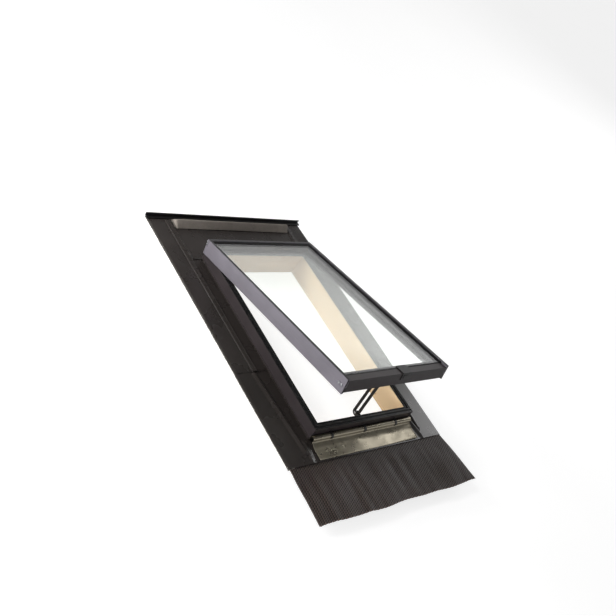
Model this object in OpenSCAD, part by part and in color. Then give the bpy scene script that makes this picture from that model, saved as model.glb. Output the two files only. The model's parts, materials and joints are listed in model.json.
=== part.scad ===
// Top-hung roof window with its flashing collar, modelled flat:
// X runs across the roof, Y runs up the slope, Z stands square to the roof.
// The origin is the middle of the wooden frame, on its underside.

/* [Frame] */
// Width over the frame cladding
frame_w = 460; // [380:5:800]
// Length over the frame cladding, along the slope
frame_l = 754; // [520:2:1200]
// Thickness of the pine lining boards
board_t = 20; // [15:1:26]
// Height of the pine lining boards
board_h = 86; // [80:1:130]
// Gap from the outside of the boards to the outside of the cladding
wall_gap = 4; // [3.6:0.2:6]
// Thickness of the frame cladding
cladding_t = 1.5; // [1:0.1:1.6]
// How far the cladding stands above the boards
cladding_rise = 5; // [4:0.5:6]
// Height of the rubber rim above the boards
rim_h = 6; // [5:0.5:9]

/* [Flashing] */
// Height of the flashing above the frame's underside
flange_z = 42; // [34:1:50]
// Thickness of the flashing sheet
sheet_t = 1.2; // [0.8:0.1:1.4]
// Flange width beside the frame
side_margin = 125; // [110:1:180]
// Flange length above the frame
top_margin = 210; // [150:5:300]
// Flange length below the frame
bottom_margin = 80; // [75:1:140]
// Height of the upstand leg against the boards
leg_h = 22; // [12:1:30]
// Distance from the cladding to the middle of the side rib
rib_offset = 50; // [40:1:70]
// Width of the side rib
rib_w = 18; // [14:1:26]
// Height of the side rib
rib_h = 6; // [4:0.5:10]
// Length of the bottom flashing's arm that shows beside the frame
arm_l = 267; // [180:1:330]
// How far the side flashing laps over the arm
arm_lap = 60; // [30:1:80]
// Radius of the round bead pressed into each arm
bead_r = 11; // [9:0.5:13]
// Drop of the turned-down outer edge
edge_drop = 7; // [4:0.5:9]
// Thickness of the foam strip under the side flanges
foam_t = 12; // [8:1:16]
// Width of the foam strip
foam_w = 20; // [14:1:26]

/* [Top wedge and edge] */
// Height of the foam wedge on the top flashing
wedge_h = 24; // [14:1:30]
// Width of the foam wedge, along the slope
wedge_w = 46; // [30:1:60]
// Distance from the top edge to the wedge
wedge_gap = 20; // [19:1:40]
// Height of the turned-up top edge
lip_h = 12; // [6:1:16]
// Width of the strip along the top edge
edge_strip_w = 18; // [12:1:18]

/* [Sill] */
// Radius of the roll under the frame's bottom edge
roll_r = 9.3; // [7:0.1:11]
// Height of the roll's middle above the flashing
roll_rise = 16; // [13:0.5:20]
// Width of each sill clip
clip_w = 9; // [6:0.5:14]
// Spacing of the sill clips
clip_pitch = 150; // [110:5:180]

/* [Apron] */
// Length of the pleated apron
apron_l = 190; // [120:5:260]
// Pitch of the pleats
pleat_pitch = 8; // [6:0.5:14]
// Height of the pleats
pleat_h = 5; // [3:0.5:6]
// How far the right-hand corner fans out
apron_fan = 30; // [0:1:40]

/* [Sash] */
// Opening angle as modelled
open_angle = 13.5; // [10:0.5:16]
// How far the sash laps past each side of the frame
sash_lap_side = 9; // [8:0.5:14]
// How far the sash laps past each end of the frame
sash_lap_end = 5; // [4.5:0.5:8]
// Height of the side rails
rail_h = 53.5; // [46:0.5:58]
// Height of the shut sash above the rubber rim
sash_rise = 35.2; // [34:0.2:42]
// Wall thickness of the rails
rail_wall = 2; // [1.6:0.1:2.4]
// Width of the lip on top of the side and top rails
lip_w = 10; // [8:0.5:14]
// Depth of the glass below that lip
glass_drop = 6.4; // [4:0.2:8]
// Width of the bottom rail's top face
sill_face_w = 26; // [20:1:34]
// Height of the bottom rail's front face
front_h = 42; // [36:0.5:46]
// Thickness of each pane
pane_t = 4; // [3:0.5:5]
// Gap between the panes
cavity_t = 12; // [8:1:12]
// Width of the spacer between the panes
spacer_w = 13; // [8:1:16]
// Thickness of the bedding tape
tape_t = 2; // [1:0.5:3]
// Sideways place of the glass clip on the bottom rail
glass_clip_x = 32; // [-120:1:120]
// Width of the glass clip
glass_clip_w = 45; // [20:1:70]

/* [Hinges] */
// Distance from the middle to each hinge
hinge_x = 140; // [80:1:180]
// Length of a hinge
hinge_l = 50; // [40:1:70]
// Outer diameter of the hinge knuckle
knuckle_d = 10; // [9:0.5:12]
// Diameter of the hinge pin
pin_d = 5; // [4:0.5:6]
// Running clearance of the pin in a moving knuckle, on the radius
pin_clear = 0.05; // [0.02:0.01:0.1]
// Thickness of the hinge leaves
leaf_t = 2; // [1.5:0.5:3]

/* [Stay] */
// Width of the slotted stay
stay_w = 28; // [24:1:34]
// Thickness of the slotted stay
stay_t = 5; // [3:0.5:6]
// Width of the slot
slot_w = 9; // [8.6:0.2:10]
// Diameter of the catch pin
catch_pin_d = 5; // [4:0.5:5]
// Distance of the stay's pivot from the frame's inner face, when shut
pivot_in = 25; // [22:1:40]
// Depth of the stay's pivot below the rubber rim's top, when shut
pivot_drop = 4; // [3:0.5:10]
// Depth of the catch pin below the stay's pivot, when shut
pin_drop = 18; // [17:0.5:30]

/* [Fixing holes] */
// Diameter of the fixing holes through the side boards
fix_d = 6; // [4:0.5:8]
// Height of the fixing holes above the frame's underside
fix_z = 20; // [12:1:28]
// Distance from each end of the frame to the fixing holes
fix_end = 130; // [60:5:200]
// Diameter of the lining holes in the frame's underside
lining_d = 4; // [3:0.5:5]
// Distance from each end of the frame to the lining holes
lining_end = 73; // [30:1:110]

/* [Hidden] */

$fn = 48;
eps = 0.01;

// Half sizes of the frame, outside to inside
hw = frame_w / 2;
hl = frame_l / 2;
bx = hw - wall_gap;
by = hl - wall_gap;
ix = bx - board_t;
iy = by - board_t;

// Levels of the frame, from the bottom up
cap_t = 1.2;
cap_top = board_h + cap_t;
rim_top = board_h + rim_h;
cladding_z0 = flange_z + 10;
cladding_top = board_h + cladding_rise;

// Levels of the flashing sheets: each upper sheet laps over the one below it
low_z = flange_z;
mid_z = low_z + sheet_t;
high_z = mid_z + sheet_t;
top_z = high_z + sheet_t;
collar_x = hw + side_margin;
collar_top = hl + top_margin;
collar_bottom = -hl - bottom_margin;
side_end = -hl + arm_l;
lap_end = side_end + arm_lap;
rib_x = hw + rib_offset;
rib_side = 1.5;
edge_r = 5;

// Roll and sill
roll_y = -hl - roll_r;
roll_z = mid_z + roll_rise;
sill_x = hw - 1;

// Sash, in its shut place
sx = hw + sash_lap_side;
sy = hl + sash_lap_end;
sash_top = rim_top + sash_rise;
glass_top = sash_top - glass_drop;
glass_bottom = glass_top - 2 * pane_t - cavity_t;
bed_top = glass_bottom - tape_t;
bed_t = 3;
bed_bottom = bed_top - bed_t;
web_x = sx - lip_w;
web_y = sy - lip_w;
bed_x = ix + 4;
glass_gap = 1;
glass_x = web_x - glass_gap;
glass_y1 = web_y - glass_gap;
front_web_y = sy - sill_face_w;
glass_y0 = front_web_y - 2.5;
gasket_w = 9;
gasket_h = 4.4;

// Hinge axis
knuckle_r = knuckle_d / 2;
hinge_y = hl + leaf_t + knuckle_r;
hinge_z = rim_top + 6;
frame_leaf_z0 = rim_top - 26;
sash_leaf_top = sash_top - 5;
knuckle_gap = 0.3;
screw_d = 3;
head_d = 6;
head_h = 1.4;
screw_l = 14;

// Stay: pivot and pin when shut, then the pivot with the sash open
pivot_shut = [-iy + pivot_in, rim_top - pivot_drop];
catch_pin = [pivot_shut.x - 1, pivot_shut.y - pin_drop];
pivot_r = 3;
pivot_rel = pivot_shut - [hinge_y, hinge_z];
pivot_open = [
  hinge_y + pivot_rel.x * cos(open_angle) + pivot_rel.y * sin(open_angle),
  hinge_z - pivot_rel.x * sin(open_angle) + pivot_rel.y * cos(open_angle)];
stay_span = norm(pivot_open - catch_pin);
stay_tilt = atan2(pivot_open.x - catch_pin.x, pivot_open.y - catch_pin.y);
slot_r = slot_w / 2;
slot_end = stay_span - (slot_r - catch_pin_d / 2) + 0.3;
slot_start = pin_drop - 1.5;
stay_top_r = 7;
lug_t = 3;
lug_gap = 0.5;
lug_r = 6;

FRAME_DARK = "#2b2627";
SHEET_BROWN = "#3f3a38";
SHEET_BARE = "#8f8a7c";
PINE = "#d6b893";
RUBBER = "#121112";
RAIL = "#77727a";
FOAM = "#b9b8b0";
STEEL = "#9a9a9c";
PLASTIC = "#1a1919";

// ---------- helpers ----------

// Extrude a section drawn in (X, Z) along Y
module along_y(y0, length) {
  translate([0, y0 + length, 0]) rotate([90, 0, 0]) linear_extrude(length) children();
}

// Extrude a section drawn in (Y, Z) along X
module along_x(x0, length) {
  translate([x0, 0, 0]) rotate([90, 0, 90]) linear_extrude(length) children();
}

// A box between two corners
module block(lo, hi) {
  translate(lo) cube(hi - lo);
}

// A rectangle between two corners
module rect(lo, hi) {
  translate(lo) square(hi - lo);
}

// A flat rectangular ring; xo, xi are half widths, yo and yi are [low, high]
module ring(xo, yo, xi, yi, z0, z1) {
  difference() {
    block([-xo, yo[0], z0], [xo, yo[1], z1]);
    block([-xi, yi[0], z0 - 1], [xi, yi[1], z1 + 1]);
  }
}

// Both the right-hand copy and its mirror image
module both_sides() {
  children();
  mirror([1, 0, 0]) children();
}

// A rod along X
module rod_x(r, x0, x1, y, z) {
  translate([x0, y, z]) rotate([0, 90, 0]) cylinder(r = r, h = x1 - x0);
}

// A rod along Y
module rod_y(r, y0, y1, x, z) {
  translate([x, y1, z]) rotate([90, 0, 0]) cylinder(r = r, h = y1 - y0);
}

function side_normal(a, b) = let (d = (b - a) / norm(b - a)) [-d.y, d.x];
function mitre(p, i, t) =
  let (
    n = len(p) - 1,
    n1 = i == 0 ? side_normal(p[0], p[1]) : side_normal(p[i - 1], p[i]),
    n2 = i == n ? side_normal(p[n - 1], p[n]) : side_normal(p[i], p[i + 1]))
  p[i] + t * (n1 + n2) / (1 + n1 * n2);

// A bent sheet: the line p, thickened by t to its left
module sheet(p, t) {
  n = len(p) - 1;
  polygon(concat(p, [for (i = [n:-1:0]) mitre(p, i, t)]));
}

// Points on an arc, from angle a0 to a1
function arc(c, r, a0, a1, steps) =
  [for (i = [0:steps]) c + r * [cos(a0 + (a1 - a0) * i / steps), sin(a0 + (a1 - a0) * i / steps)]];

// Moves a shut sash to its open place
module opened() {
  translate([0, hinge_y, hinge_z]) rotate([-open_angle, 0, 0])
    translate([0, -hinge_y, -hinge_z]) children();
}

// A pan-head screw along -Z, head seated at the origin
module screw(length, d = screw_d, head = head_d, h = head_h) {
  translate([0, 0, -length]) cylinder(d = d, h = length);
  difference() {
    cylinder(d = head, h = h);
    for (a = [0, 90]) rotate([0, 0, a]) translate([-head / 3, -0.4, h - 0.7]) cube([head / 1.5, 0.8, 1]);
  }
}

// ---------- pine lining ----------

corner_screw_z = [22, board_h - 24];
corner_hole_d = 4;
corner_screw_l = 45;
lining_depth = 25;
frame_leaf_screw_z = [frame_leaf_z0 + 7, frame_leaf_z0 + 17];

module board_screw_places() {
  for (s = [-1, 1], e = [-1, 1], z = corner_screw_z)
    translate([s * bx, e * (iy + board_t / 2), z]) rotate([0, s * 90, 0]) children();
}

module corner_holes() {
  board_screw_places() {
    translate([0, 0, -corner_screw_l]) cylinder(d = corner_hole_d, h = corner_screw_l + 1);
    translate([0, 0, -2]) cylinder(d = 8, h = 3);
  }
}

module side_board() {
  difference() {
    block([ix, -by, 0], [bx, by, board_h]);
    corner_holes();
    for (e = [-1, 1]) {
      rod_x(fix_d / 2, ix - 1, bx + 1, e * (by - fix_end), fix_z);
      translate([(ix + bx) / 2, e * (by - lining_end), -1]) cylinder(d = lining_d, h = lining_depth + 1);
    }
  }
}

module right_board() { color(PINE) side_board(); }
module left_board() { color(PINE) mirror([1, 0, 0]) side_board(); }

module top_board() {
  color(PINE) difference() {
    block([-ix, iy, 0], [ix, by, board_h]);
    corner_holes();
    frame_leaf_screws(screw_d);
  }
}

module bottom_board() {
  color(PINE) difference() {
    block([-ix, -by, 0], [ix, -iy, board_h]);
    corner_holes();
    catch_screw_places() translate([0, 0, -catch_screw_l]) cylinder(d = screw_d, h = catch_screw_l + 1);
  }
}

module board_screws() {
  color(STEEL) board_screw_places() {
    translate([0, 0, -corner_screw_l]) cylinder(d = corner_hole_d, h = corner_screw_l - 2);
    translate([0, 0, -2]) cylinder(d = 8, h = 1.9);
  }
}

// ---------- frame cladding and rim ----------

cap_w = 18;

module side_cladding() {
  block([hw - cladding_t, -hl, cladding_z0], [hw, hl, cladding_top]);
  block([hw - cap_w, -hl + cladding_t, board_h], [hw, hl - cladding_t, cap_top]);
  block([hw, -hl, cladding_z0], [hw + 1.2, hl, cladding_z0 + 2]);
}

module end_cladding(e) {
  x = hw - cladding_t;
  mirror([0, e < 0 ? 1 : 0, 0]) {
    block([-x, hl - cladding_t, cladding_z0], [x, hl, cladding_top]);
    block([-(hw - cap_w), hl - cap_w, board_h], [hw - cap_w, hl - cladding_t, cap_top]);
  }
}

module right_cladding() { color(FRAME_DARK) side_cladding(); }
module left_cladding() { color(FRAME_DARK) mirror([1, 0, 0]) side_cladding(); }
module top_cladding() {
  color(FRAME_DARK) difference() {
    end_cladding(1);
    frame_leaf_screws(screw_d);
  }
}
module bottom_cladding() { color(FRAME_DARK) end_cladding(-1); }

bulb_r = 3;

module rim_seal() {
  x = hw - cladding_t;
  y = hl - cladding_t;
  ridge = 5;
  bulb_x = (x + ix) / 2;
  bulb_y = (y + iy) / 2;
  bulb_z = rim_top - 1;
  base_top = cap_top + 2.4;
  color(RUBBER) union() {
    ring(x, [-y, y], ix, [-iy, iy], cap_top, base_top);
    ring(x, [-y, y], x - ridge, [-y + ridge, y - ridge], base_top - eps, rim_top);
    ring(ix + ridge, [-iy - ridge, iy + ridge], ix, [-iy, iy], base_top - eps, rim_top - 0.6);
    both_sides() rod_y(bulb_r, -bulb_y, bulb_y, bulb_x, bulb_z);
    for (e = [-1, 1]) rod_x(bulb_r, -bulb_x, bulb_x, e * bulb_y, bulb_z);
    for (s = [-1, 1], e = [-1, 1]) translate([s * bulb_x, e * bulb_y, bulb_z]) sphere(bulb_r);
  }
}

// ---------- flashing ----------

// Outer edge of a side flange: a round bend and a short drop
function edge_points(z) =
  concat(arc([collar_x - edge_r - sheet_t, z - edge_r], edge_r, 90, 0, 4),
    [[collar_x - sheet_t, z - edge_drop]]);

// Underside line of the side flashing, from the upstand leg to the outer edge
function side_line(z, leg_z) = concat(
  [[bx, leg_z], [bx, z],
   [rib_x - rib_w / 2, z], [rib_x - rib_w / 2 + rib_side, z + rib_h - sheet_t],
   [rib_x + rib_w / 2 - rib_side, z + rib_h - sheet_t], [rib_x + rib_w / 2, z]],
  edge_points(z));

module side_flashing() {
  difference() {
    along_y(side_end, collar_top - side_end) sheet(side_line(mid_z, high_z + leg_h), sheet_t);
    block([bx - 1, by, high_z], [bx + 6, collar_top + 1, high_z + leg_h + 1]);
    block([bx - 1, collar_top - edge_strip_w, high_z], [collar_x - 40, collar_top + 1, high_z + rib_h + 1]);
  }
}

module right_flashing() { color(SHEET_BROWN) side_flashing(); }
module left_flashing() { color(SHEET_BROWN) mirror([1, 0, 0]) side_flashing(); }

module top_flashing() {
  x = rib_x - rib_w / 2 - 2;
  color(SHEET_BROWN) union() {
    along_x(-x, 2 * x) sheet([[collar_top, high_z], [by, high_z]], -sheet_t);
    block([-bx, by, high_z], [bx, by + sheet_t, high_z + leg_h]);
    both_sides() block([x - 3, by + 6, high_z], [x, collar_top - edge_strip_w - 2, top_z + 3]);
  }
}

// The round bead pressed into an arm slants in towards the frame
bead_from = [rib_x + 7, side_end - 13];
bead_to = [rib_x - 15, -hl - 40];
bead_h = 6;
bead_sink = bead_r - bead_h;

module bead(r) {
  d = bead_to - bead_from;
  translate([bead_from.x, bead_from.y, low_z - bead_sink]) rotate([0, 0, atan2(d.y, d.x)]) rotate([0, 90, 0]) {
    cylinder(r = r, h = norm(d));
    sphere(r);
    translate([0, 0, norm(d)]) sphere(r);
  }
}

module arm_plate() {
  along_y(collar_bottom, side_end - collar_bottom)
    sheet(concat([[bx + 3, low_z]], edge_points(low_z)), sheet_t);
  block([bx + 3, side_end - eps, low_z], [collar_x - 12, lap_end, mid_z]);
}

module bottom_flashing() {
  hem = 3;
  color(SHEET_BROWN) union() {
    difference() {
      union() {
        both_sides() arm_plate();
        block([-bx - 4, collar_bottom, low_z], [bx + 4, -by, mid_z]);
        intersection() {
          both_sides() bead(bead_r);
          block([-collar_x, collar_bottom, low_z], [collar_x, lap_end, low_z + bead_h + 1]);
        }
      }
      intersection() {
        both_sides() bead(bead_r - sheet_t);
        block([-collar_x, collar_bottom, low_z - 1], [collar_x, lap_end, low_z + bead_h]);
      }
    }
    both_sides() block([bx, -by, low_z], [bx + sheet_t, side_end, mid_z + leg_h]);
    both_sides() block([bx, -by, low_z], [bx + 4, side_end, mid_z]);
    block([-bx - sheet_t, -by - sheet_t, low_z], [bx + sheet_t, -by, mid_z + leg_h]);
    block([-collar_x + 4, collar_bottom, mid_z - eps], [collar_x - 4, collar_bottom + hem, mid_z + 0.8]);
  }
}

// The sill's face, drawn from behind the roll, over it, down its front and out
// over a hollow curve to the flashing's lower edge; the sheet lies inside this line
hollow_r = 45;
roll_c = [roll_y, roll_z];
roll_end = roll_c + roll_r * [cos(215), sin(215)];
sill_top = mid_z + sheet_t;
hollow_a = asin(1 - (roll_end.y - sill_top) / hollow_r);
hollow_c = [roll_end.x - hollow_r * cos(hollow_a), sill_top + hollow_r];
sill_line = concat(
  [[-hl, mid_z + 3]],
  arc(roll_c, roll_r, 0, 215, 16),
  [for (p = arc(hollow_c, hollow_r, -hollow_a - 2, -90, 6)) p],
  [[collar_bottom + 5, sill_top]]);

module sill_flashing() {
  color(SHEET_BARE) along_x(-sill_x, 2 * sill_x) sheet(sill_line, sheet_t);
}

// Spring clips that hold the roll against the cladding
module sill_clips() {
  reach = roll_r + 0.05;
  t = 1.6;
  clip_top = glass_top - front_h - 2.5;
  far = 30;
  color(PLASTIC) for (i = [-1:1]) translate([i * clip_pitch, 0, 0]) along_x(-clip_w / 2, clip_w) union() {
    intersection() {
      difference() {
        translate(roll_c) circle(r = reach + t);
        translate(roll_c) circle(r = reach);
      }
      polygon(concat([roll_c], arc(roll_c, far, 20, 205, 6)));
      rect([roll_y - far, roll_z - far], [-hl, roll_z + far]);
    }
    rect([-hl - t, roll_z + 0.56 * (reach + t)], [-hl, clip_top]);
  }
}

module top_wedge() {
  x = rib_x - rib_w / 2 - 8;
  y1 = collar_top - wedge_gap;
  y0 = y1 - wedge_w;
  color("#5a5550") along_x(-x, 2 * x)
    polygon([[y0, top_z], [y1, top_z], [y1 - 3, top_z + 4], [y0 + wedge_w * 0.52, top_z + wedge_h],
             [y0 + wedge_w * 0.48, top_z + wedge_h], [y0, top_z + 2.5]]);
}

module top_edge_strip() {
  x = collar_x + 4;
  t = 2;
  y0 = collar_top - edge_strip_w;
  color(PLASTIC) union() {
    along_x(-x, 2 * x) union() {
      rect([y0, top_z], [collar_top, top_z + t]);
      rect([collar_top - t, top_z], [collar_top, top_z + lip_h]);
      rect([collar_top - 5, top_z + lip_h - t], [collar_top, top_z + lip_h]);
    }
    both_sides() block([rib_x - rib_w / 2 - 1.5, y0, high_z], [x, collar_top, top_z + 0.5]);
  }
}

module side_foam() {
  x1 = collar_x - sheet_t - 0.2;
  z0 = low_z - foam_t;
  z1 = low_z - 1;
  block([x1 - foam_w, collar_bottom + 1, z0], [x1, collar_top - 2, z1 - 5]);
  block([x1 - foam_w, collar_bottom + 1, z1 - 6], [x1 - 5.5, lap_end, low_z]);
  block([x1 - foam_w, lap_end - eps, z1 - 6], [x1 - 5.5, collar_top - 2, mid_z]);
}

module right_foam() { color(FOAM) side_foam(); }
module left_foam() { color(FOAM) mirror([1, 0, 0]) side_foam(); }

// ---------- pleated apron ----------

apron_top = collar_bottom + 16;
tuck_x = collar_x - sheet_t - foam_w - 2;
apron_end = collar_bottom - apron_l;
pleat_skin = 1.2;
pleat_n = ceil((2 * collar_x + apron_fan) / pleat_pitch);

// Outline of the apron seen from above, with a gently waving lower edge
apron_steps = 24;
function apron_edge(u) = 2.2 * sin(u * 720 + 40) + 1.3 * sin(u * 1620);
function apron_outline() = concat(
  [[tuck_x, collar_bottom], [tuck_x, apron_top], [-tuck_x, apron_top], [-tuck_x, collar_bottom],
   [-collar_x + 2, collar_bottom]],
  [for (i = [0:apron_steps]) let (u = i / apron_steps)
    [-collar_x - 2 + u * (2 * collar_x + 2 + apron_fan), apron_end + 3 + apron_edge(u)]],
  [[collar_x + apron_fan * 0.4, collar_bottom - apron_l * 0.45], [collar_x - 2, collar_bottom]]);

module pleats() {
  x0 = -collar_x - 6;
  z0 = low_z - pleat_h - 0.1;
  top = [for (i = [0:2 * pleat_n + 2]) [x0 + i * pleat_pitch / 2, z0 + (i % 2) * (pleat_h - pleat_skin)]];
  polygon(concat([for (p = top) p], [for (i = [len(top) - 1:-1:0]) top[i] + [0, pleat_skin]]));
}

module apron() {
  color("#3b3632") intersection() {
    along_y(apron_end - 10, apron_l + 40) pleats();
    translate([0, 0, low_z - pleat_h - 2]) linear_extrude(pleat_h + 4) polygon(apron_outline());
  }
}

// ---------- hinges ----------

sash_knuckle_l = hinge_l / 4;

// A knuckle around the hinge axis, from x0 to x1
module knuckle(x0, x1, bore) {
  difference() {
    rod_x(knuckle_r, x0, x1, hinge_y, hinge_z);
    rod_x(bore, x0 - 1, x1 + 1, hinge_y, hinge_z);
  }
}

module frame_leaf_screws(d) {
  for (s = [-1, 1], dx = [-16, 16], z = frame_leaf_screw_z)
    translate([s * hinge_x + dx, hl + leaf_t, z]) rotate([-90, 0, 0])
      translate([0, 0, -screw_l]) cylinder(d = d, h = screw_l + 1);
}

module frame_hinge_leaves() {
  half = hinge_l / 2;
  mid = half - sash_knuckle_l - knuckle_gap;
  color(STEEL) difference() {
    for (s = [-1, 1]) translate([s * hinge_x, 0, 0]) {
      block([-half, hl, frame_leaf_z0], [half, hl + leaf_t, rim_top + 0.6]);
      difference() {
        union() {
          block([-mid, hl, rim_top], [mid, hl + leaf_t, hinge_z]);
          rod_x(knuckle_r, -mid, mid, hinge_y, hinge_z);
          block([-mid, hl, hinge_z - knuckle_r], [mid, hinge_y, hinge_z]);
        }
        rod_x(pin_d / 2, -mid - 1, mid + 1, hinge_y, hinge_z);
      }
    }
    frame_leaf_screws(screw_d);
  }
}

module sash_hinge_leaves() {
  half = hinge_l / 2;
  color(STEEL) opened() difference() {
    for (s = [-1, 1]) translate([s * hinge_x, 0, 0]) {
      block([-half, sy, hinge_z + knuckle_r + 1], [half, sy + leaf_t, sash_leaf_top]);
      for (e = [-1, 1]) {
        x0 = e > 0 ? half - sash_knuckle_l : -half;
        difference() {
          union() {
            block([x0, sy, hinge_z], [x0 + sash_knuckle_l, sy + leaf_t, hinge_z + knuckle_r + 2]);
            rod_x(knuckle_r, x0, x0 + sash_knuckle_l, hinge_y, hinge_z);
          }
          rod_x(pin_d / 2 + pin_clear, x0 - 1, x0 + sash_knuckle_l + 1, hinge_y, hinge_z);
        }
      }
    }
    sash_leaf_screws(screw_d);
  }
}

module sash_leaf_screws(d) {
  for (s = [-1, 1], dx = [-16, 0, 16])
    translate([s * hinge_x + dx, sy + leaf_t, sash_leaf_top - 6]) rotate([-90, 0, 0])
      translate([0, 0, -screw_l / 2]) cylinder(d = d, h = screw_l / 2 + 1);
}

module hinge_pins() {
  color(STEEL) for (s = [-1, 1])
    rod_x(pin_d / 2, s * hinge_x - hinge_l / 2 - 1, s * hinge_x + hinge_l / 2 + 1, hinge_y, hinge_z);
}

module frame_hinge_screws() {
  color(STEEL) for (s = [-1, 1], dx = [-16, 16], z = frame_leaf_screw_z)
    translate([s * hinge_x + dx, hl + leaf_t, z]) rotate([-90, 0, 0]) screw(screw_l);
}

module sash_hinge_screws() {
  color(STEEL) opened() for (s = [-1, 1], dx = [-16, 0, 16])
    translate([s * hinge_x + dx, sy + leaf_t, sash_leaf_top - 6]) rotate([-90, 0, 0]) screw(screw_l / 2);
}

// ---------- sash ----------

rail_foot = 4.5;
port_r = 3.4;

// Section of a side rail: outer wall, lip, web, glass bed and a foot on the skirt
module side_rail_section() {
  z0 = sash_top - rail_h;
  difference() {
    union() {
      rect([web_x, bed_bottom], [sx, sash_top]);
      rect([bed_x, bed_bottom], [sx, bed_top]);
      rect([sx - rail_wall, z0], [sx, sash_top]);
      rect([sx - rail_foot, z0], [sx, z0 + rail_wall]);
    }
    rect([web_x + rail_wall, bed_top], [sx - rail_wall, sash_top - rail_wall]);
  }
}

// Screw ports, as [distance from the rail's end, depth below the sash top]
bottom_ports = [[12, 27.5], [23.5, 27.5]];
top_ports = [[5, 7], [5, 17]];

module corner_screw_places() {
  for (s = [-1, 1]) {
    for (p = bottom_ports)
      translate([s * sx, -sy + p.x, sash_top - p.y]) rotate([0, s * 90, 0]) children();
    for (p = top_ports)
      translate([s * sx, sy - p.x, sash_top - p.y]) rotate([0, s * 90, 0]) children();
  }
}

module side_rail() {
  difference() {
    along_y(-sy, 2 * sy) side_rail_section();
    block([bed_x - 1, -sy - 1, bed_bottom - 1], [web_x, -front_web_y, bed_top + 1]);
    corner_screw_places() translate([0, 0, -lip_w - 1]) cylinder(d = 4, h = lip_w + 2);
  }
}

module right_rail() { color(RAIL) opened() side_rail(); }
module left_rail() { color(RAIL) opened() mirror([1, 0, 0]) side_rail(); }

module top_rail() {
  knuckle_clear = hinge_z + knuckle_r + 1;
  color(RAIL) opened() difference() {
    along_x(-web_x, 2 * web_x) difference() {
      union() {
        rect([web_y, bed_top], [sy, sash_top]);
        rect([iy, bed_bottom], [web_y + rail_wall, bed_top]);
      }
      difference() {
        rect([web_y + rail_wall, knuckle_clear + rail_wall], [sy - rail_wall, sash_top - rail_wall]);
        for (p = top_ports) translate([sy - p.x, sash_top - p.y]) circle(r = port_r);
      }
      rect([web_y + rail_wall, bed_bottom - 1], [sy + 1, knuckle_clear]);
    }
    both_sides() block([bed_x, iy - 1, bed_bottom - 1], [web_x + 1, sy + 1, bed_top]);
    sash_leaf_screws(screw_d);
    corner_screw_places() translate([0, 0, -lip_w - 15]) cylinder(d = 4, h = lip_w + 20);
  }
}

module bottom_rail() {
  bed_in = front_web_y - 18;
  color(RAIL) opened() difference() {
    along_x(-web_x, 2 * web_x) mirror([1, 0]) difference() {
      union() {
        rect([front_web_y, bed_bottom], [sy, glass_top]);
        rect([bed_in, bed_bottom], [sy, bed_top]);
        rect([sy - rail_wall, glass_top - front_h], [sy, glass_top]);
        rect([sy - rail_foot, glass_top - front_h], [sy, glass_top - front_h + rail_wall]);
      }
      difference() {
        rect([front_web_y + rail_wall, bed_top], [sy - rail_wall, glass_top - rail_wall]);
        for (p = bottom_ports) translate([sy - p.x, sash_top - p.y]) circle(r = port_r);
      }
    }
    both_sides() block([bed_x, -front_web_y, bed_bottom - 1], [web_x + 1, -bed_in + 1, bed_top]);
    stay_bracket_screw_places() translate([0, 0, -6]) cylinder(d = screw_d, h = 8);
    corner_screw_places() translate([0, 0, -lip_w - 15]) cylinder(d = 4, h = lip_w + 20);
  }
}

module corner_screws() {
  color(STEEL) opened() corner_screw_places() screw(lip_w + 14, 4, 7.5, 1.8);
}

module outer_pane() {
  color("#dfe7e4", 0.4) opened() block([-glass_x, -glass_y0, glass_top - pane_t], [glass_x, glass_y1, glass_top]);
}

module inner_pane() {
  color("#dfe7e4", 0.4) opened() block([-glass_x, -glass_y0, glass_bottom], [glass_x, glass_y1, glass_bottom + pane_t]);
}

module pane_spacer() {
  inset = 2;
  color("#1b1b1d") opened() ring(
    glass_x - inset, [-glass_y0 + inset, glass_y1 - inset],
    glass_x - inset - spacer_w, [-glass_y0 + inset + spacer_w, glass_y1 - inset - spacer_w],
    glass_bottom + pane_t, glass_top - pane_t);
}

module bedding_tape() {
  w = 12;
  color(RUBBER) opened() ring(
    glass_x, [-glass_y0, glass_y1], glass_x - w, [-glass_y0 + w, glass_y1 - w], bed_top, glass_bottom);
}

module glazing_gasket() {
  low = 0.9;
  color(RUBBER) opened() union() {
    both_sides() along_y(-front_web_y, front_web_y + web_y)
      polygon([[web_x, glass_top], [web_x, glass_top + gasket_h], [web_x - gasket_w, glass_top + low],
               [web_x - gasket_w, glass_top]]);
    along_x(-web_x, 2 * web_x)
      polygon([[web_y, glass_top], [web_y, glass_top + gasket_h], [web_y - gasket_w, glass_top + low],
               [web_y - gasket_w, glass_top]]);
    along_x(-web_x, 2 * web_x)
      polygon([[-front_web_y, glass_top - 10], [-front_web_y, glass_top + low], [-glass_y0 + 2, glass_top + low],
               [-glass_y0 + 2, glass_top], [-glass_y0, glass_top], [-glass_y0, glass_top - 10]]);
  }
}

// The clip hooks over the bottom rail and holds the lower edge of the glass
module glass_clip() {
  t = 2.2;
  z = glass_top + 0.9;
  color(PLASTIC) opened() translate([glass_clip_x, 0, 0]) union() {
    along_x(-glass_clip_w / 2, glass_clip_w) union() {
      rect([-sy - t, z], [-glass_y0 + 8, z + t]);
      rect([-sy - t, z - 24], [-sy, z + t]);
      rect([-sy, glass_top], [-sy + 8, z + 0.1]);
    }
    block([-glass_clip_w / 3, -sy - t - 1.6, z - 18], [glass_clip_w / 3, -sy - t + eps, z - 6]);
  }
}

// ---------- stay ----------

bracket_t = 3;
bracket_half = stay_t / 2 + lug_gap + lug_t;
bracket_screw_x = 18;
bracket_top = bed_bottom;
bracket_lo = -iy + 1.5;
bracket_hi = bracket_lo + 22;

module stay_bracket_screw_places() {
  for (s = [-1, 1]) translate([s * bracket_screw_x, bracket_lo + 6, bracket_top - bracket_t])
    rotate([180, 0, 0]) children();
}

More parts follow.
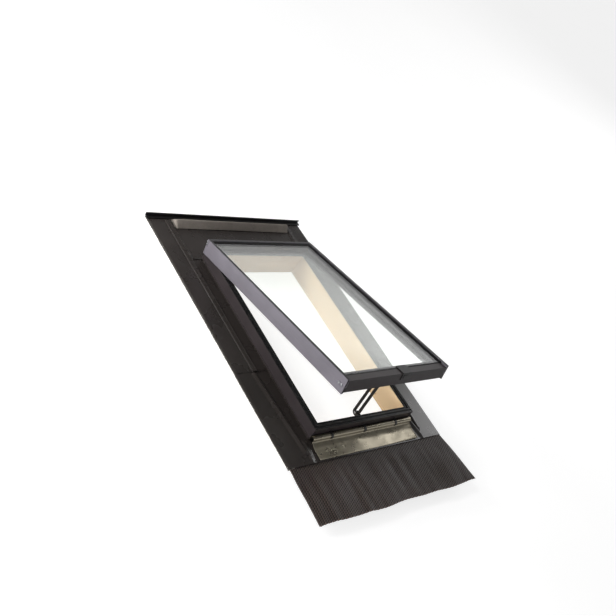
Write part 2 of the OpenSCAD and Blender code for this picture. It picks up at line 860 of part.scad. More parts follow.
// Two triangular cheeks under the bottom rail carry the stay's pivot
module stay_bracket() {
  lo = bracket_lo;
  hi = bracket_hi;
  color(PLASTIC) opened() difference() {
    union() {
      block([-26, lo, bracket_top - bracket_t], [26, hi, bracket_top]);
      for (s = [-1, 1]) {
        x0 = s > 0 ? stay_t / 2 + lug_gap : -stay_t / 2 - lug_gap - lug_t;
        along_x(x0, lug_t) union() {
          translate(pivot_shut) circle(r = lug_r);
          polygon([[lo + 1, bracket_top], [lo + 1, bracket_top - 4], [lo + 8, bracket_top - 8],
                   [pivot_shut.x - 3, pivot_shut.y - lug_r + 0.8], [pivot_shut.x + lug_r - 0.2, pivot_shut.y],
                   [pivot_shut.x + 4, bracket_top]]);
        }
      }
    }
    rod_x(pivot_r, -20, 20, pivot_shut.x, pivot_shut.y);
    block([-stay_t / 2 - lug_gap, pivot_shut.x - 13.5, 0], [stay_t / 2 + lug_gap, hi + 20, bracket_top + 1]);
    stay_bracket_screw_places() translate([0, 0, -6]) cylinder(d = screw_d, h = 8);
  }
}

module stay_bracket_screws() {
  color(STEEL) opened() stay_bracket_screw_places() screw(5.5);
}

module stay_pivot_pin() {
  head = 1.2;
  color(STEEL) opened() union() {
    rod_x(pivot_r, -bracket_half - head, bracket_half + head, pivot_shut.x, pivot_shut.y);
    for (s = [-1, 1]) {
      x = s > 0 ? bracket_half : -bracket_half - head;
      rod_x(pivot_r + 1.4, x, x + head, pivot_shut.x, pivot_shut.y);
    }
  }
}

// The slotted stay hangs from the pivot; its slot rides on the catch pin
module stay_outline() {
  shoulder = 30;
  side = stay_w / 2 - 0.02;
  polygon([[-stay_top_r + 0.4, 0], [stay_top_r - 0.4, 0], [side, -shoulder], [side, -slot_end],
           [-side, -slot_end], [-side, -shoulder]]);
}

module stay_bar() {
  x0 = -stay_t / 2;
  color(PLASTIC) translate([0, pivot_open.x, pivot_open.y]) rotate([-stay_tilt, 0, 0]) difference() {
    union() {
      rod_x(stay_top_r, x0, -x0, 0, 0);
      rod_x(stay_w / 2, x0, -x0, 0, -slot_end);
      along_x(x0, stay_t) stay_outline();
    }
    rod_x(pivot_r + pin_clear, x0 - 1, 1 - x0, 0, 0);
    rod_x(slot_r, x0 - 1, 1 - x0, 0, -slot_start);
    rod_x(slot_r, x0 - 1, 1 - x0, 0, -slot_end);
    block([x0 - 1, -slot_r, -slot_end], [1 - x0, slot_r, -slot_start]);
  }
}

// ---------- catch on the frame ----------

catch_plate_t = 3;
catch_screw_l = 14;
catch_ear_r = 5;

module catch_screw_places() {
  for (s = [-1, 1]) translate([s * 19, -iy + catch_plate_t, catch_pin.y]) rotate([-90, 0, 0]) children();
}

module catch_bracket() {
  color(PLASTIC) difference() {
    union() {
      block([-27, -iy, catch_pin.y - 10], [27, -iy + catch_plate_t, catch_pin.y + 8]);
      for (s = [-1, 1]) {
        x0 = s > 0 ? stay_t / 2 + lug_gap : -stay_t / 2 - lug_gap - lug_t;
        along_x(x0, lug_t) union() {
          translate(catch_pin) circle(r = catch_ear_r);
          polygon([[-iy, catch_pin.y - 9], [catch_pin.x, catch_pin.y - catch_ear_r],
                   [catch_pin.x, catch_pin.y + catch_ear_r], [-iy, catch_pin.y + 7]]);
        }
      }
    }
    rod_x(catch_pin_d / 2, -20, 20, catch_pin.x, catch_pin.y);
    catch_screw_places() translate([0, 0, -catch_screw_l]) cylinder(d = screw_d, h = catch_screw_l + 1);
  }
}

module catch_pin() {
  head = 1.2;
  color(STEEL) union() {
    rod_x(catch_pin_d / 2, -bracket_half - head, bracket_half + head, catch_pin.x, catch_pin.y);
    for (s = [-1, 1]) {
      x = s > 0 ? bracket_half : -bracket_half - head;
      rod_x(catch_pin_d / 2 + 1.4, x, x + head, catch_pin.x, catch_pin.y);
    }
  }
}

module catch_screws() {
  color(STEEL) catch_screw_places() screw(catch_screw_l);
}

left_board();
right_board();
top_board();
bottom_board();
board_screws();
left_cladding();
right_cladding();
top_cladding();
bottom_cladding();
rim_seal();
top_flashing();
left_flashing();
right_flashing();
bottom_flashing();
sill_flashing();
sill_clips();
top_wedge();
top_edge_strip();
left_foam();
right_foam();
apron();
frame_hinge_leaves();
hinge_pins();
frame_hinge_screws();
catch_bracket();
catch_pin();
catch_screws();
left_rail();
right_rail();
top_rail();
bottom_rail();
corner_screws();
outer_pane();
inner_pane();
pane_spacer();
bedding_tape();
glazing_gasket();
glass_clip();
sash_hinge_leaves();
sash_hinge_screws();
stay_bracket();
stay_bracket_screws();
stay_pivot_pin();
stay_bar();
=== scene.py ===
import json
import math

import bmesh
import bpy
from bpy.props import FloatProperty, FloatVectorProperty, PointerProperty
from mathutils import Matrix, Vector, noise

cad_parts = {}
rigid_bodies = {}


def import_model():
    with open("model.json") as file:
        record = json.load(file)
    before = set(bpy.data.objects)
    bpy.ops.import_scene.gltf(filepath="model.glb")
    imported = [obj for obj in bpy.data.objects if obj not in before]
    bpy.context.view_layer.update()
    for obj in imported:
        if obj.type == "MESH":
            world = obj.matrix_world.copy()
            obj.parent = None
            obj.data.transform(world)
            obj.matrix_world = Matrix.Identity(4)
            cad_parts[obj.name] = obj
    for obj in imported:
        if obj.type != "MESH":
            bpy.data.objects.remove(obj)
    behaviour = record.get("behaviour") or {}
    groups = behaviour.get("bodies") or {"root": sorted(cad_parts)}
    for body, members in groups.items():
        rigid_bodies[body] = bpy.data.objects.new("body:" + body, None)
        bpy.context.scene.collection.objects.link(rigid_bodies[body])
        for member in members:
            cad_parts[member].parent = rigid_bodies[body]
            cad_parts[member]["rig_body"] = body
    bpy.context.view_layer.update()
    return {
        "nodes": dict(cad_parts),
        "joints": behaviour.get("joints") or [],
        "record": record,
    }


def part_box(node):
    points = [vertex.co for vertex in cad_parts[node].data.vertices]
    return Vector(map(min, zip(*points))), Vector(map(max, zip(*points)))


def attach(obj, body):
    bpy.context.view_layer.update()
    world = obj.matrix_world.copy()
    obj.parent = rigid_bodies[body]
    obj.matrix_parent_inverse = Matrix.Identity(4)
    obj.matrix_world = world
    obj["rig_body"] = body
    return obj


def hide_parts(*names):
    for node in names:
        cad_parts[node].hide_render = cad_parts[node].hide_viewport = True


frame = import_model()

bl_info = {
    "name": "Roof Window Finish",
    "version": (1, 0, 0),
    "blender": (4, 5, 0),
    "location": "View3D > Sidebar > Roof Window",
    "description": "Gives a top-hung roof window its folded flashing, seals, timber and finishes",
    "category": "Object",
}

MM = 0.001
# A CAD fold is dropped where it bends less than the first angle, and is an arris above the second.
FLAT_FOLD, ARRIS_FOLD = math.radians(0.8), math.radians(28)
# Lengths here, and all bare numbers in the shapes further down, are millimetres.
RIB_OUTSIDE_TOP = 11  # from the top flashing's side to the middle of the rib
UPSTAND_FOOT = 6  # height over which an upstand takes up the waviness of its sheet
BOARD_SHORTEST, RAIL_SHORTEST = 20, 8  # edges shorter than this keep their sharp arris
BEAD_ACROSS = 15  # half the width of the finely divided band round each bead
SILL_ROLL, SILL_HOLLOW = 9.3, 45  # radii of the sill's roll and of its hollow curve
DENT_DEPTH = 1.5
APRON_SHEET = 0.8
APRON_FLARE = (14, 18)  # how far the apron's right edge runs out, in its upper and lower part
CAP_INSET = 2.1  # from a rail's outer faces to its end plugs
FLOOR_HALF = 30000


def lin(code):
    """An sRGB hex colour as linear red, green, blue."""
    parts = [int(code[i:i + 2], 16) / 255 for i in (1, 3, 5)]
    return [c / 12.92 if c <= 0.04045 else ((c + 0.055) / 1.055) ** 2.4 for c in parts]


def per(size_mm):
    """Texture scale, in repeats a metre, for a pattern whose real size is given in millimetres."""
    return 1000 / size_mm


def corners(node):
    """Lowest and highest corner of a CAD node at rest, in millimetres."""
    lo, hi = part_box(node)
    return lo / MM, hi / MM


# ---------- sizes and colours a user would change ----------


def length(name, description, size_mm):
    """A length property whose default is given in millimetres."""
    return FloatProperty(name=name, description=description, default=size_mm * MM, unit="LENGTH", precision=5)


def colour(name, description, code):
    """A colour property whose default is an sRGB hex value."""
    return FloatVectorProperty(
        name=name, description=description, default=lin(code), subtype="COLOR", size=3, min=0, max=1)


class RoofWindowSizes(bpy.types.PropertyGroup):
    """Sizes of the visible detail that the plain solids leave out"""

    sheet: length("Sheet", "Thickness of the flashing sheet", 1.2)
    rib_width: length("Rib width", "Width of the rib folded into each side flashing", 18)
    rib_height: length("Rib height", "Height of that rib", 6)
    edge_radius: length("Edge radius", "Radius of the flashing's turned-down outer edge", 5)
    unevenness: length("Unevenness", "How far the rolled sheet is out of flat", 0.6)
    bead_radius: length("Bead radius", "Radius of the round bead pressed into each arm", 11)
    bead_height: length("Bead height", "Height of that bead above the sheet", 6)
    pleat_pitch: length("Pleat pitch", "Distance from one apron pleat to the next", 8)
    pleat_height: length("Pleat height", "Height of the apron's pleats", 4)
    rail_arris: length("Rail arris", "Radius on the long edges of the sash rails", 0.7)
    board_arris: length("Board arris", "Radius on the long edges of the pine boards", 1.6)
    glass_arris: length("Glass arris", "Width of the ground edge on each pane", 0.5)


class RoofWindowColours(bpy.types.PropertyGroup):
    """Base colours of the finishes"""

    pine: colour("Pine", "Lacquered pine lining", "#edd3b1")
    cladding: colour("Frame cladding", "Paint on the frame's cladding", "#322d2e")
    flashing: colour("Flashing", "Coating on the flashing sheets", "#2a2624")
    sill: colour("Sill", "Bare rolled sheet under the frame's lower edge", "#908979")
    rails: colour("Sash rails", "Anodised rails of the sash", "#757178")
    apron: colour("Apron", "Coating on the pleated apron", "#28211d")
    rubber: colour("Rubber", "Seals and gaskets", "#070607")
    plastic: colour("Plastic", "Stay, clips and edge strip", "#0e0d0d")


def sizes():
    return bpy.context.scene.roof_window_sizes


def colours():
    return bpy.context.scene.roof_window_colours


# ---------- material helpers ----------

# what makes a Mix node lay one colour over another as a tint, and the ends of a MapRange node's ranges
TINT = {"data_type": "RGBA", "blend_type": "MULTIPLY", 0: 1}
RANGE = ("From Min", "From Max", "To Min", "To Max")


def feed(tree, node, links):
    """Links outputs, or the first output of other nodes, to a node's inputs."""
    for socket, source in links.items():
        output = source if isinstance(source, bpy.types.NodeSocket) else source.outputs[0]
        tree.links.new(output, node.inputs[socket])
    return node


def add(tree, kind, settings=None, links=None):
    """Adds a node, sets its properties, sockets and colour stops, and links its inputs."""
    node = tree.nodes.new("ShaderNode" + kind)
    for key, value in (settings or {}).items():
        if key == "stops":
            ramp = node.color_ramp.elements
            while len(ramp) < len(value):
                ramp.new(0.5)
            for stop, (place, shade) in zip(ramp, value):
                stop.position = place
                stop.color = (*(shade if hasattr(shade, "__len__") else [shade] * 3), 1)
        elif isinstance(key, str) and hasattr(node, key):
            setattr(node, key, value)
        else:
            node.inputs[key].default_value = value
    return feed(tree, node, links or {})


def surface(name, **sockets):
    """A new material with its Principled shader's own sockets set; returns material, tree and shader."""
    material = bpy.data.materials.new(name)
    material.use_nodes = True
    shader = material.node_tree.nodes["Principled BSDF"]
    for socket, value in sockets.items():
        shader.inputs[socket.replace("_", " ")].default_value = value
    return material, material.node_tree, shader


def shaded(base, gain):
    """A colour made lighter or darker by a gain."""
    return [min(1, c * gain) for c in base[:3]]


def layered(name, slow, grain, tones, gloss, bump, specks=None, over=None, kind="TexNoise",
            shiny_grain=False, dents=None, **sockets):
    """A finish of the common build: slow patches of tone, and a grain that stands in relief over them.

    slow and grain are textures: size in mm, detail, roughness and, where it is drawn out along the
    piece, its stretch; kind is the grain's kind of texture. tones and specks are the stops of a ramp on
    the patches and one on the grain, and over adds a node that tints both. gloss maps the patches, or a
    shiny grain, to roughness. bump is the grain's strength and its depth in mm, and dents the size in mm
    and the detail of shallow dents.
    """
    material, tree, shader = surface(name, **sockets)
    place = {"Vector": add(tree, "TexCoord").outputs["Object"]}
    made = []
    for sort, (size_mm, detail, roughness, *stretch) in (("TexNoise", slow), (kind, grain)):
        at = {"Vector": add(tree, "Mapping", {"Scale": stretch[0]}, place)} if stretch else place
        made.append(add(tree, sort, {"Scale": per(size_mm), "Detail": detail, "Roughness": roughness}, at))
    patches, grains = made
    tone = add(tree, "ValToRGB", {"stops": tones}, {"Fac": patches})
    tints = [add(tree, "ValToRGB", {"stops": specks}, {"Fac": grains})] if specks else []
    for tint in tints + ([over(tree)] if over else []):
        tone = add(tree, "Mix", TINT, {6: tone, 7: tint}).outputs[2]
    raised = {"Height": grains}
    if dents:
        swell = add(tree, "TexNoise", {"Scale": per(dents[0]), "Detail": dents[1]}, place)
        raised["Normal"] = add(tree, "Bump", {"Strength": 0.3, "Distance": DENT_DEPTH * MM}, {
            "Height": swell})
    relief = add(tree, "Bump", {"Strength": bump[0], "Distance": bump[1] * MM}, raised)
    feed(tree, shader, {"Base Color": tone, "Normal": relief})
    if gloss:
        dull = add(tree, "MapRange", dict(zip(RANGE, gloss)), {"Value": grains if shiny_grain else patches})
        feed(tree, shader, {"Roughness": dull})
    return material


# ---------- materials ----------


def lacquered_pine():
    # Scots pine, planed and clear-lacquered: pale straw wood with slightly darker latewood lines running
    # along each board, fibre streaks 0.7 mm wide along them and the soft sheen of thin lacquer.
    base = colours().pine
    late = (base[0] * 0.78, base[1] * 0.68, base[2] * 0.55)
    along = (0.03, 1, 1)

    def ringed(tree):
        # growth rings about 5 mm apart, round a heart 70 mm below the face
        place = add(tree, "TexCoord").outputs["Object"]
        trunk = add(tree, "Mapping", {"Location": (0, 0.031, 0.07), "Scale": (0.12, 1, 1)}, {"Vector": place})
        rings = add(tree, "TexWave", {
            "wave_type": "RINGS", "rings_direction": "X", "Scale": 2 * math.pi / (20 * 5 * MM),
            "Distortion": 7, "Detail": 2, "Detail Scale": 0.25}, {"Vector": trunk}).outputs["Fac"]
        latewood = add(tree, "ValToRGB", {"stops": [(0.45, 0), (0.95, 0.75)]}, {"Fac": rings})
        wood = add(tree, "Mix", {"data_type": "RGBA", 6: (*base, 1), 7: (*late, 1)}, {0: latewood})
        return wood.outputs[2]

    return layered(
        "pine_planed_and_lacquered", slow=(60, 2, 0.5, along), grain=(0.7, 5, 0.65, along),
        tones=[(0.3, (0.9, 0.88, 0.84)), (0.75, (1.04, 1.03, 1.0))], gloss=(0, 1, 0.38, 0.55),
        bump=(0.25, 0.15), specks=[(0.3, 0.82), (0.7, 1.06)], over=ringed, shiny_grain=True, IOR=1.5,
        Coat_Weight=0.25, Coat_Roughness=0.3)


def coated_sheet(name, base, roughness, grain_mm, patch_mm=90, sheen=0.5):
    """Sheet or profile under a sprayed or rolled coat: slow tone patches, fine peel and a few dull spots."""
    return layered(
        name, slow=(patch_mm, 3, 0.55), grain=(grain_mm, 2, 0.5),
        tones=[(0.3, shaded(base, 0.86)), (0.72, shaded(base, 1.1))],
        gloss=(0.3, 0.7, roughness * 0.85, roughness * 1.2), bump=(0.2, 0.05),
        specks=[(0.35, 0.9), (0.65, 1.04)], IOR=1.5, Specular_IOR_Level=sheen)


def painted_cladding():
    # Aluminium, powder-coated dark brown: nearly black in shade, satin in the light, with the faint
    # orange peel that baked powder leaves. The peel is drawn 1.2 mm wide so that it shows.
    return coated_sheet("aluminium_powder_coated_dark_brown", colours().cladding, 0.36, 1.2, sheen=0.25)


def coated_flashing():
    # Aluminium sheet, coil-coated grey-brown before folding: an even satin skin that takes broad
    # soft reflections, broken by slow tone patches where the sheet has been handled. Its fine texture is
    # drawn 1.6 mm wide so that it shows.
    return coated_sheet("aluminium_sheet_coil_coated_umber", colours().flashing, 0.27, 1.6, 120, sheen=0.35)


def rolled_sill():
    # Aluminium sheet, mill-rolled and lacquered: a warm grey metal that mirrors its surroundings softly,
    # with rolling lines 0.8 mm apart along its length, dull clouds where the lacquer is thin, and slow
    # dents 60 mm across.
    base = colours().sill
    return layered(
        "aluminium_mill_rolled_lacquered", slow=(45, 4, 0.6), grain=(0.8, 3, 0.5, (0.04, 1, 1)),
        tones=[(0.3, shaded(base, 0.86)), (0.7, shaded(base, 1.08))], gloss=(0.3, 0.7, 0.24, 0.34),
        bump=(0.05, 0.02), specks=[(0.35, 0.95), (0.65, 1.03)], dents=(60, 1), Metallic=0.9)


def anodised_rail():
    # Aluminium profile, extruded, anodised violet-grey: satin metal with die lines running its length,
    # which stretch the highlights, and painted shade on every face turned upward. The die lines are
    # drawn 0.6 mm apart so that they show.
    base = colours().rails

    def painted_top_shade(tree):
        # painted shade: faces turned upward are darkened to a tenth of the anodised tone
        normal = add(tree, "TexCoord").outputs["Normal"]
        upward = add(tree, "SeparateXYZ", {}, {0: normal}).outputs["Z"]
        return add(tree, "ValToRGB", {"stops": [(0.5, 1.0), (0.75, 0.1)]}, {"Fac": upward})

    return layered(
        "aluminium_extruded_anodised_bronze", slow=(110, 3, 0.5), grain=(0.6, 4, 0.6, (1, 0.01, 1)),
        tones=[(0.3, shaded(base, 0.88)), (0.7, shaded(base, 1.08))], gloss=(0.3, 0.7, 0.3, 0.44),
        bump=(0.15, 0.03), specks=[(0.35, 0.88), (0.65, 1.06)], over=painted_top_shade, shiny_grain=True,
        Metallic=0.35, Specular_IOR_Level=0.25)


def float_glass():
    # Soda-lime glass, float-made: clear, a little green in its depth, mirror-smooth, so it shows only as
    # pale reflections. Light passes straight through, as it does through a flat pane.
    material, tree, shader = surface("glass_float_clear")
    clear = add(tree, "BsdfTransparent", {"Color": (*lin("#fefffe"), 1)})
    mirror = add(tree, "BsdfGlossy", {"Color": (*lin("#ffffff"), 1), "Roughness": 0.02})
    # how much each face mirrors: 4% met head on, rising to all of it at a graze
    facing = add(tree, "LayerWeight", {"Blend": 0.5}).outputs["Facing"]
    graze = add(tree, "Math", {"operation": "POWER", 1: 5.0}, {0: facing})
    share = add(tree, "Math", {"operation": "MULTIPLY_ADD", 1: 0.96, 2: 0.04}, {0: graze})
    pane = add(tree, "MixShader", {}, {0: share, 1: clear, 2: mirror})
    tree.nodes.remove(shader)
    feed(tree, tree.nodes["Material Output"], {"Surface": pane})
    return material


def extruded_rubber():
    # EPDM rubber, extruded: near black and a little shiny along its lips, with a fine grain from the die,
    # drawn 0.5 mm wide.
    base = colours().rubber
    return layered(
        "epdm_rubber_extruded", slow=(14, 5, 0.65), grain=(0.5, 2, 0.5),
        tones=[(0.35, shaded(base, 0.8)), (0.75, shaded(base, 1.7))], gloss=(0.3, 0.7, 0.4, 0.6),
        bump=(0.2, 0.05), IOR=1.4)


def moulded_plastic():
    # Polyamide with glass fibre, injection-moulded: charcoal black, a fine spark-eroded grain, drawn
    # 0.6 mm wide so that it shows, and slightly greyer where fibres reach the skin.
    base = colours().plastic
    return layered(
        "polyamide_glass_filled_moulded", slow=(18, 3, 0.5), grain=(0.6, 4, 0.5),
        tones=[(0.35, shaded(base, 0.8)), (0.7, shaded(base, 1.3))], gloss=(0, 1, 0.32, 0.55),
        bump=(0.3, 0.06), IOR=1.53)


def plated_steel():
    # Carbon steel, electroplated with zinc: bright cool grey with faint clouds 3 mm across.
    return layered(
        "steel_zinc_plated", slow=(3, 5, 0.7), grain=(3, 5, 0.7),
        tones=[(0.3, lin("#a3a5a8")), (0.7, lin("#cfd0d2"))], gloss=(0, 1, 0.2, 0.42), bump=(0.1, 0.04),
        Metallic=1)


def cut_foam(name, base, cell_mm):
    """Foam as it comes off the knife: open cells, dull all over, with painted shade in the hollow of each
    cell.
    """
    # painted shade: each cell darkens towards its middle, where its hollow lies
    return layered(
        name, slow=(25, 4, 0.5), grain=(cell_mm, 0, 0.5), tones=[(0.3, 0.86), (0.7, 1.05)], gloss=None,
        bump=(0.6, 0.4), specks=[(0.05, shaded(base, 0.72)), (0.5, shaded(base, 1.08))],
        kind="TexVoronoi", Roughness=0.92, IOR=1.45)


def pale_foam():
    # Polyurethane foam, cut from the block: pale grey and matt, open cells drawn 1.2 mm wide.
    return cut_foam("polyurethane_foam_cut", lin("#e4e1da"), 1.2)


def wedge_foam():
    # Polyurethane foam, resin-impregnated and cut to a wedge: grey-brown, dense and matt, with cells
    # of about 0.9 mm.
    return cut_foam("polyurethane_foam_impregnated", lin("#79726b"), 0.9)


def pleated_apron():
    # Aluminium foil mesh, coil-coated and crimped: dull grey-brown, with a painted highlight on the crests
    # of the pleats and painted shade in the creases between them, and a grain of 1.5 mm from the mesh inside.
    base = colours().apron
    shade = shaded([base[0], base[1] * 0.96, base[2] * 1.06], 0.86)

    def painted_crest_highlight_and_crease_shade(tree):
        # painted highlight on sharp crests and painted shade in the creases, read from how the mesh bends
        crests = add(tree, "NewGeometry").outputs["Pointiness"]
        return add(tree, "ValToRGB", {"stops": [(0.46, 0.25), (0.5, 0.8), (0.55, 5.0)]}, {"Fac": crests})

    return layered(
        "aluminium_foil_crimped_coated", slow=(110, 3, 0.5), grain=(1.5, 0, 0.5),
        tones=[(0.3, shade), (0.7, shaded(base, 1.1))], gloss=(0.3, 0.7, 0.34, 0.5), bump=(0.25, 0.12),
        over=painted_crest_highlight_and_crease_shade, kind="TexVoronoi", IOR=1.5, Specular_IOR_Level=0.25)


def perforated_spacer():
    # Aluminium strip, roll-formed and anodised black, with rows of breather holes 3 mm apart, drawn as
    # near-black dots of painted shade.
    material, tree, shader = surface("aluminium_spacer_anodised_black", Metallic=0.6)
    place = add(tree, "TexCoord").outputs["Object"]
    holes = add(tree, "TexVoronoi", {"Scale": per(3), "Randomness": 0}, {"Vector": place})
    cloud = add(tree, "TexNoise", {"Scale": per(20), "Detail": 3}, {"Vector": place})
    # painted shade: the breather holes are near-black dots that stand for the dark inside them
    painted_hole_shade = add(tree, "ValToRGB", {"stops": [(0.14, lin("#050505")), (0.2, lin("#3b3a3d"))]}, {"Fac": holes})
    gloss = add(tree, "MapRange", {"To Min": 0.3, "To Max": 0.5}, {"Value": cloud})
    feed(tree, shader, {"Base Color": painted_hole_shade, "Roughness": gloss})
    return material


FINISHES = {
    "pine": lacquered_pine, "frame_paint": painted_cladding, "sheet_paint": coated_flashing,
    "sill_sheet": rolled_sill, "sash_paint": anodised_rail, "glass": float_glass,
    "rubber": extruded_rubber, "foam": pale_foam, "wedge_foam": wedge_foam,
    "apron_sheet": pleated_apron, "black_plastic": moulded_plastic, "steel": plated_steel,
    "spacer": perforated_spacer,
}
SLOT_OF = {part["node"]: part["material_slot"] for part in frame["record"]["subparts"]}
# materials made so far, by slot
finished = {}


def finish_for(slot):
    """The material of a record slot, made on first use."""
    if slot not in finished:
        finished[slot] = FINISHES[slot]()
    return finished[slot]


# ---------- shape helpers ----------


def body_of(node):
    """The CAD body that a node rides on."""
    return frame["nodes"][node]["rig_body"]


def sash_turn():
    """The sash's turn from shut to its open rest place, read from the hinge and its range."""
    hinge = next(j for j in frame["joints"] if j["name"] == "sash_hinge")
    pivot = Vector(hinge["pos_m"])
    opened = math.radians(-min(hinge["range_deg"]))
    return (Matrix.Translation(pivot) @ Matrix.Rotation(opened, 4, Vector(hinge["axis"]))
            @ Matrix.Translation(-pivot))


def show(mesh, name, node, turn=None, stands_for=True):
    """Puts a mesh in the scene in place of a CAD node, or beside it, on its body with its slot's finish."""
    piece = bpy.data.objects.new(name, mesh)
    bpy.context.scene.collection.objects.link(piece)
    if turn is not None:
        piece.matrix_world = turn
    slot = SLOT_OF[node]
    mesh.materials.clear()
    mesh.materials.append(finish_for(slot))
    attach(piece, body_of(node))
    if stands_for:
        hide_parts(node)
    return piece


def refined(node, name, arris, shortest=4.0, turn=None, rounds=2):
    """A copy of a CAD node with rounded arrises. Only edges longer than shortest, in mm, are rounded.

    turn is the place its own axes lie along, so that grain and die lines follow the piece; what rides on
    the sash lies along the sash unless told otherwise.
    """
    if turn is None and body_of(node) == "sash":
        turn = sash_turn()
    mesh = frame["nodes"][node].data.copy()
    mesh.name = name
    grid = bmesh.new()
    grid.from_mesh(mesh)
    if turn is not None:
        grid.transform(turn.inverted())
    bmesh.ops.remove_doubles(grid, verts=grid.verts, dist=0.003 * MM)
    bmesh.ops.dissolve_limit(grid, angle_limit=FLAT_FOLD, verts=grid.verts, edges=grid.edges)
    weight = grid.edges.layers.float.new("bevel_weight_edge")
    for face in grid.faces:
        face.smooth = True
    for edge in grid.edges:
        bend = edge.calc_face_angle(0) if edge.is_manifold else math.pi
        if bend > ARRIS_FOLD:
            if edge.is_manifold and edge.calc_length() >= shortest * MM:
                edge[weight] = 1
            else:
                edge.smooth = False
    grid.to_mesh(mesh)
    grid.free()
    piece = show(mesh, name, node, turn)
    bevel = piece.modifiers.new("arris", "BEVEL")
    bevel.limit_method = "WEIGHT"
    bevel.width = arris
    bevel.segments = rounds
    bevel.use_clamp_overlap = False
    piece.modifiers.new("even_faces", "WEIGHTED_NORMAL").keep_sharp = True


def lattice(grid, rows, ring=False, keep=None):
    """Adds quads through rows of points in millimetres; ring closes each row, keep chooses cells."""
    points = [[grid.verts.new(Vector(p) * MM) for p in row] for row in rows]
    wide = len(points[0])
    for i in range(len(points) - 1):
        for j in range(wide if ring else wide - 1):
            if keep is None or keep(i, j):
                k = (j + 1) % wide
                grid.faces.new((points[i][j], points[i][k], points[i + 1][k], points[i + 1][j]))
    return points


def solid(grid, rows):
    """Adds a tube through rows of points, with both ends closed."""
    points = lattice(grid, rows, ring=True)
    for cap in (points[0], points[-1]):
        grid.faces.new(cap)
    bmesh.ops.recalc_face_normals(grid, faces=grid.faces)


def as_mesh(grid, name):
    """Turns a grid into a named mesh."""
    mesh = bpy.data.meshes.new(name)
    grid.to_mesh(mesh)
    grid.free()
    return mesh


def folded(grid, name, node, thickness=0.0, weld=0.02):
    """Ends a built mesh: welds its seams, drops loose points, smooths it, and thickens it outward, or
    inward where thickness is negative."""
    bmesh.ops.remove_doubles(grid, verts=grid.verts, dist=weld * MM)
    bmesh.ops.delete(grid, geom=[v for v in grid.verts if not v.link_faces], context="VERTS")
    for face in grid.faces:
        face.smooth = True
    piece = show(as_mesh(grid, name), name, node)
    if thickness:
        thick = piece.modifiers.new("sheet", "SOLIDIFY")
        thick.thickness = abs(thickness)
        thick.offset = 1 if thickness > 0 else -1
        thick.use_even_offset = True
        piece.modifiers.new("even_faces", "WEIGHTED_NORMAL").keep_sharp = True
    return piece


def rounded(line, radius, steps=4):
    """A line with each inner corner swapped for a short curve that starts radius before it."""
    line = [Vector(p) for p in line]
    out = [line[0]]
    for a, b, c in zip(line, line[1:], line[2:]):
        reach = min(radius, (b - a).length * 0.48, (c - b).length * 0.48)
        p, q = b + (a - b).normalized() * reach, b + (c - b).normalized() * reach
        out += [p.lerp(b, t / steps).lerp(b.lerp(q, t / steps), t / steps) for t in range(steps + 1)]
    return out + [line[-1]]


def arc(centre, radius, degrees):
    """Points of a circle at the given angles."""
    centre = Vector(centre)
    return [centre + radius * Vector((math.cos(a), math.sin(a))) for a in map(math.radians, degrees)]


def closer(line, gap):
    """A line with its long stretches divided so that no two points are more than gap apart."""
    out = [line[0]]
    for a, b in zip(line, line[1:]):
        parts = max(1, math.ceil((b - a).length / gap))
        out += [a.lerp(b, (i + 1) / parts) for i in range(parts)]
    return out


def steps(low, high, gap, extra=()):
    """Even steps from low to high, no wider than gap, with extra places added."""
    count = max(1, math.ceil((high - low) / gap))
    return sorted({*(low + (high - low) * i / count for i in range(count + 1)), *extra})


def ease(value, low, high):
    """0 below low, 1 above high, and a smooth rise between."""
    t = min(1, max(0, (value - low) / (high - low)))
    return t * t * (3 - 2 * t)


def settle(x, y):
    """How far the rolled sheet hangs below true flat at a place: slow waves, and smaller ones over them."""
    slow = noise.noise((x / 140, y / 190, 0.3)) + 0.4 * noise.noise((x / 60, y / 75, 4.1))
    return -sizes().unevenness / MM * (0.5 + 0.36 * slow)


def upstand(x, y, z, under, at):
    """A point of an upstand: its foot hangs with the sheet at a place across, its top stays put."""
    return x, y, under + z + settle(at, y) * (1 - ease(z, 0, UPSTAND_FOOT))


def mirrored(rows, side):
    """Rows as given for the right-hand side, or their mirror image for the left."""
    return rows if side > 0 else [[(-p[0], p[1], p[2]) for p in reversed(row)] for row in rows]


SIDES = (("right", 1), ("left", -1))


# ---------- operators: the frame ----------


class FinishPineLining(bpy.types.Operator):
    """Rounds the arrises of the pine boards and runs the grain along each of them"""

    bl_idname = "roof_window.finish_pine_lining"
    bl_label = "Pine lining"

    def execute(self, context):
        for node in ("left_board", "right_board", "top_board", "bottom_board"):
            lo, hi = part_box(node)
            turn = Matrix.Translation((lo + hi) / 2)
            if hi.y - lo.y > hi.x - lo.x:
                turn = turn @ Matrix.Rotation(math.pi / 2, 4, "Z")
            refined(node, "lining_" + node, sizes().board_arris, BOARD_SHORTEST, turn, 3)
        refined("board_screws", "lining_board_screws", 0.25 * MM, 0.3)
        return {"FINISHED"}


class FinishFrameCladding(bpy.types.Operator):
    """Rounds the folded edges of the frame's four cladding profiles"""

    bl_idname = "roof_window.finish_frame_cladding"
    bl_label = "Frame cladding"

    def execute(self, context):
        for edge in ("left", "right", "top", "bottom"):
            refined(edge + "_cladding", edge + "_cladding_profile", 0.35 * MM, 6)
        return {"FINISHED"}


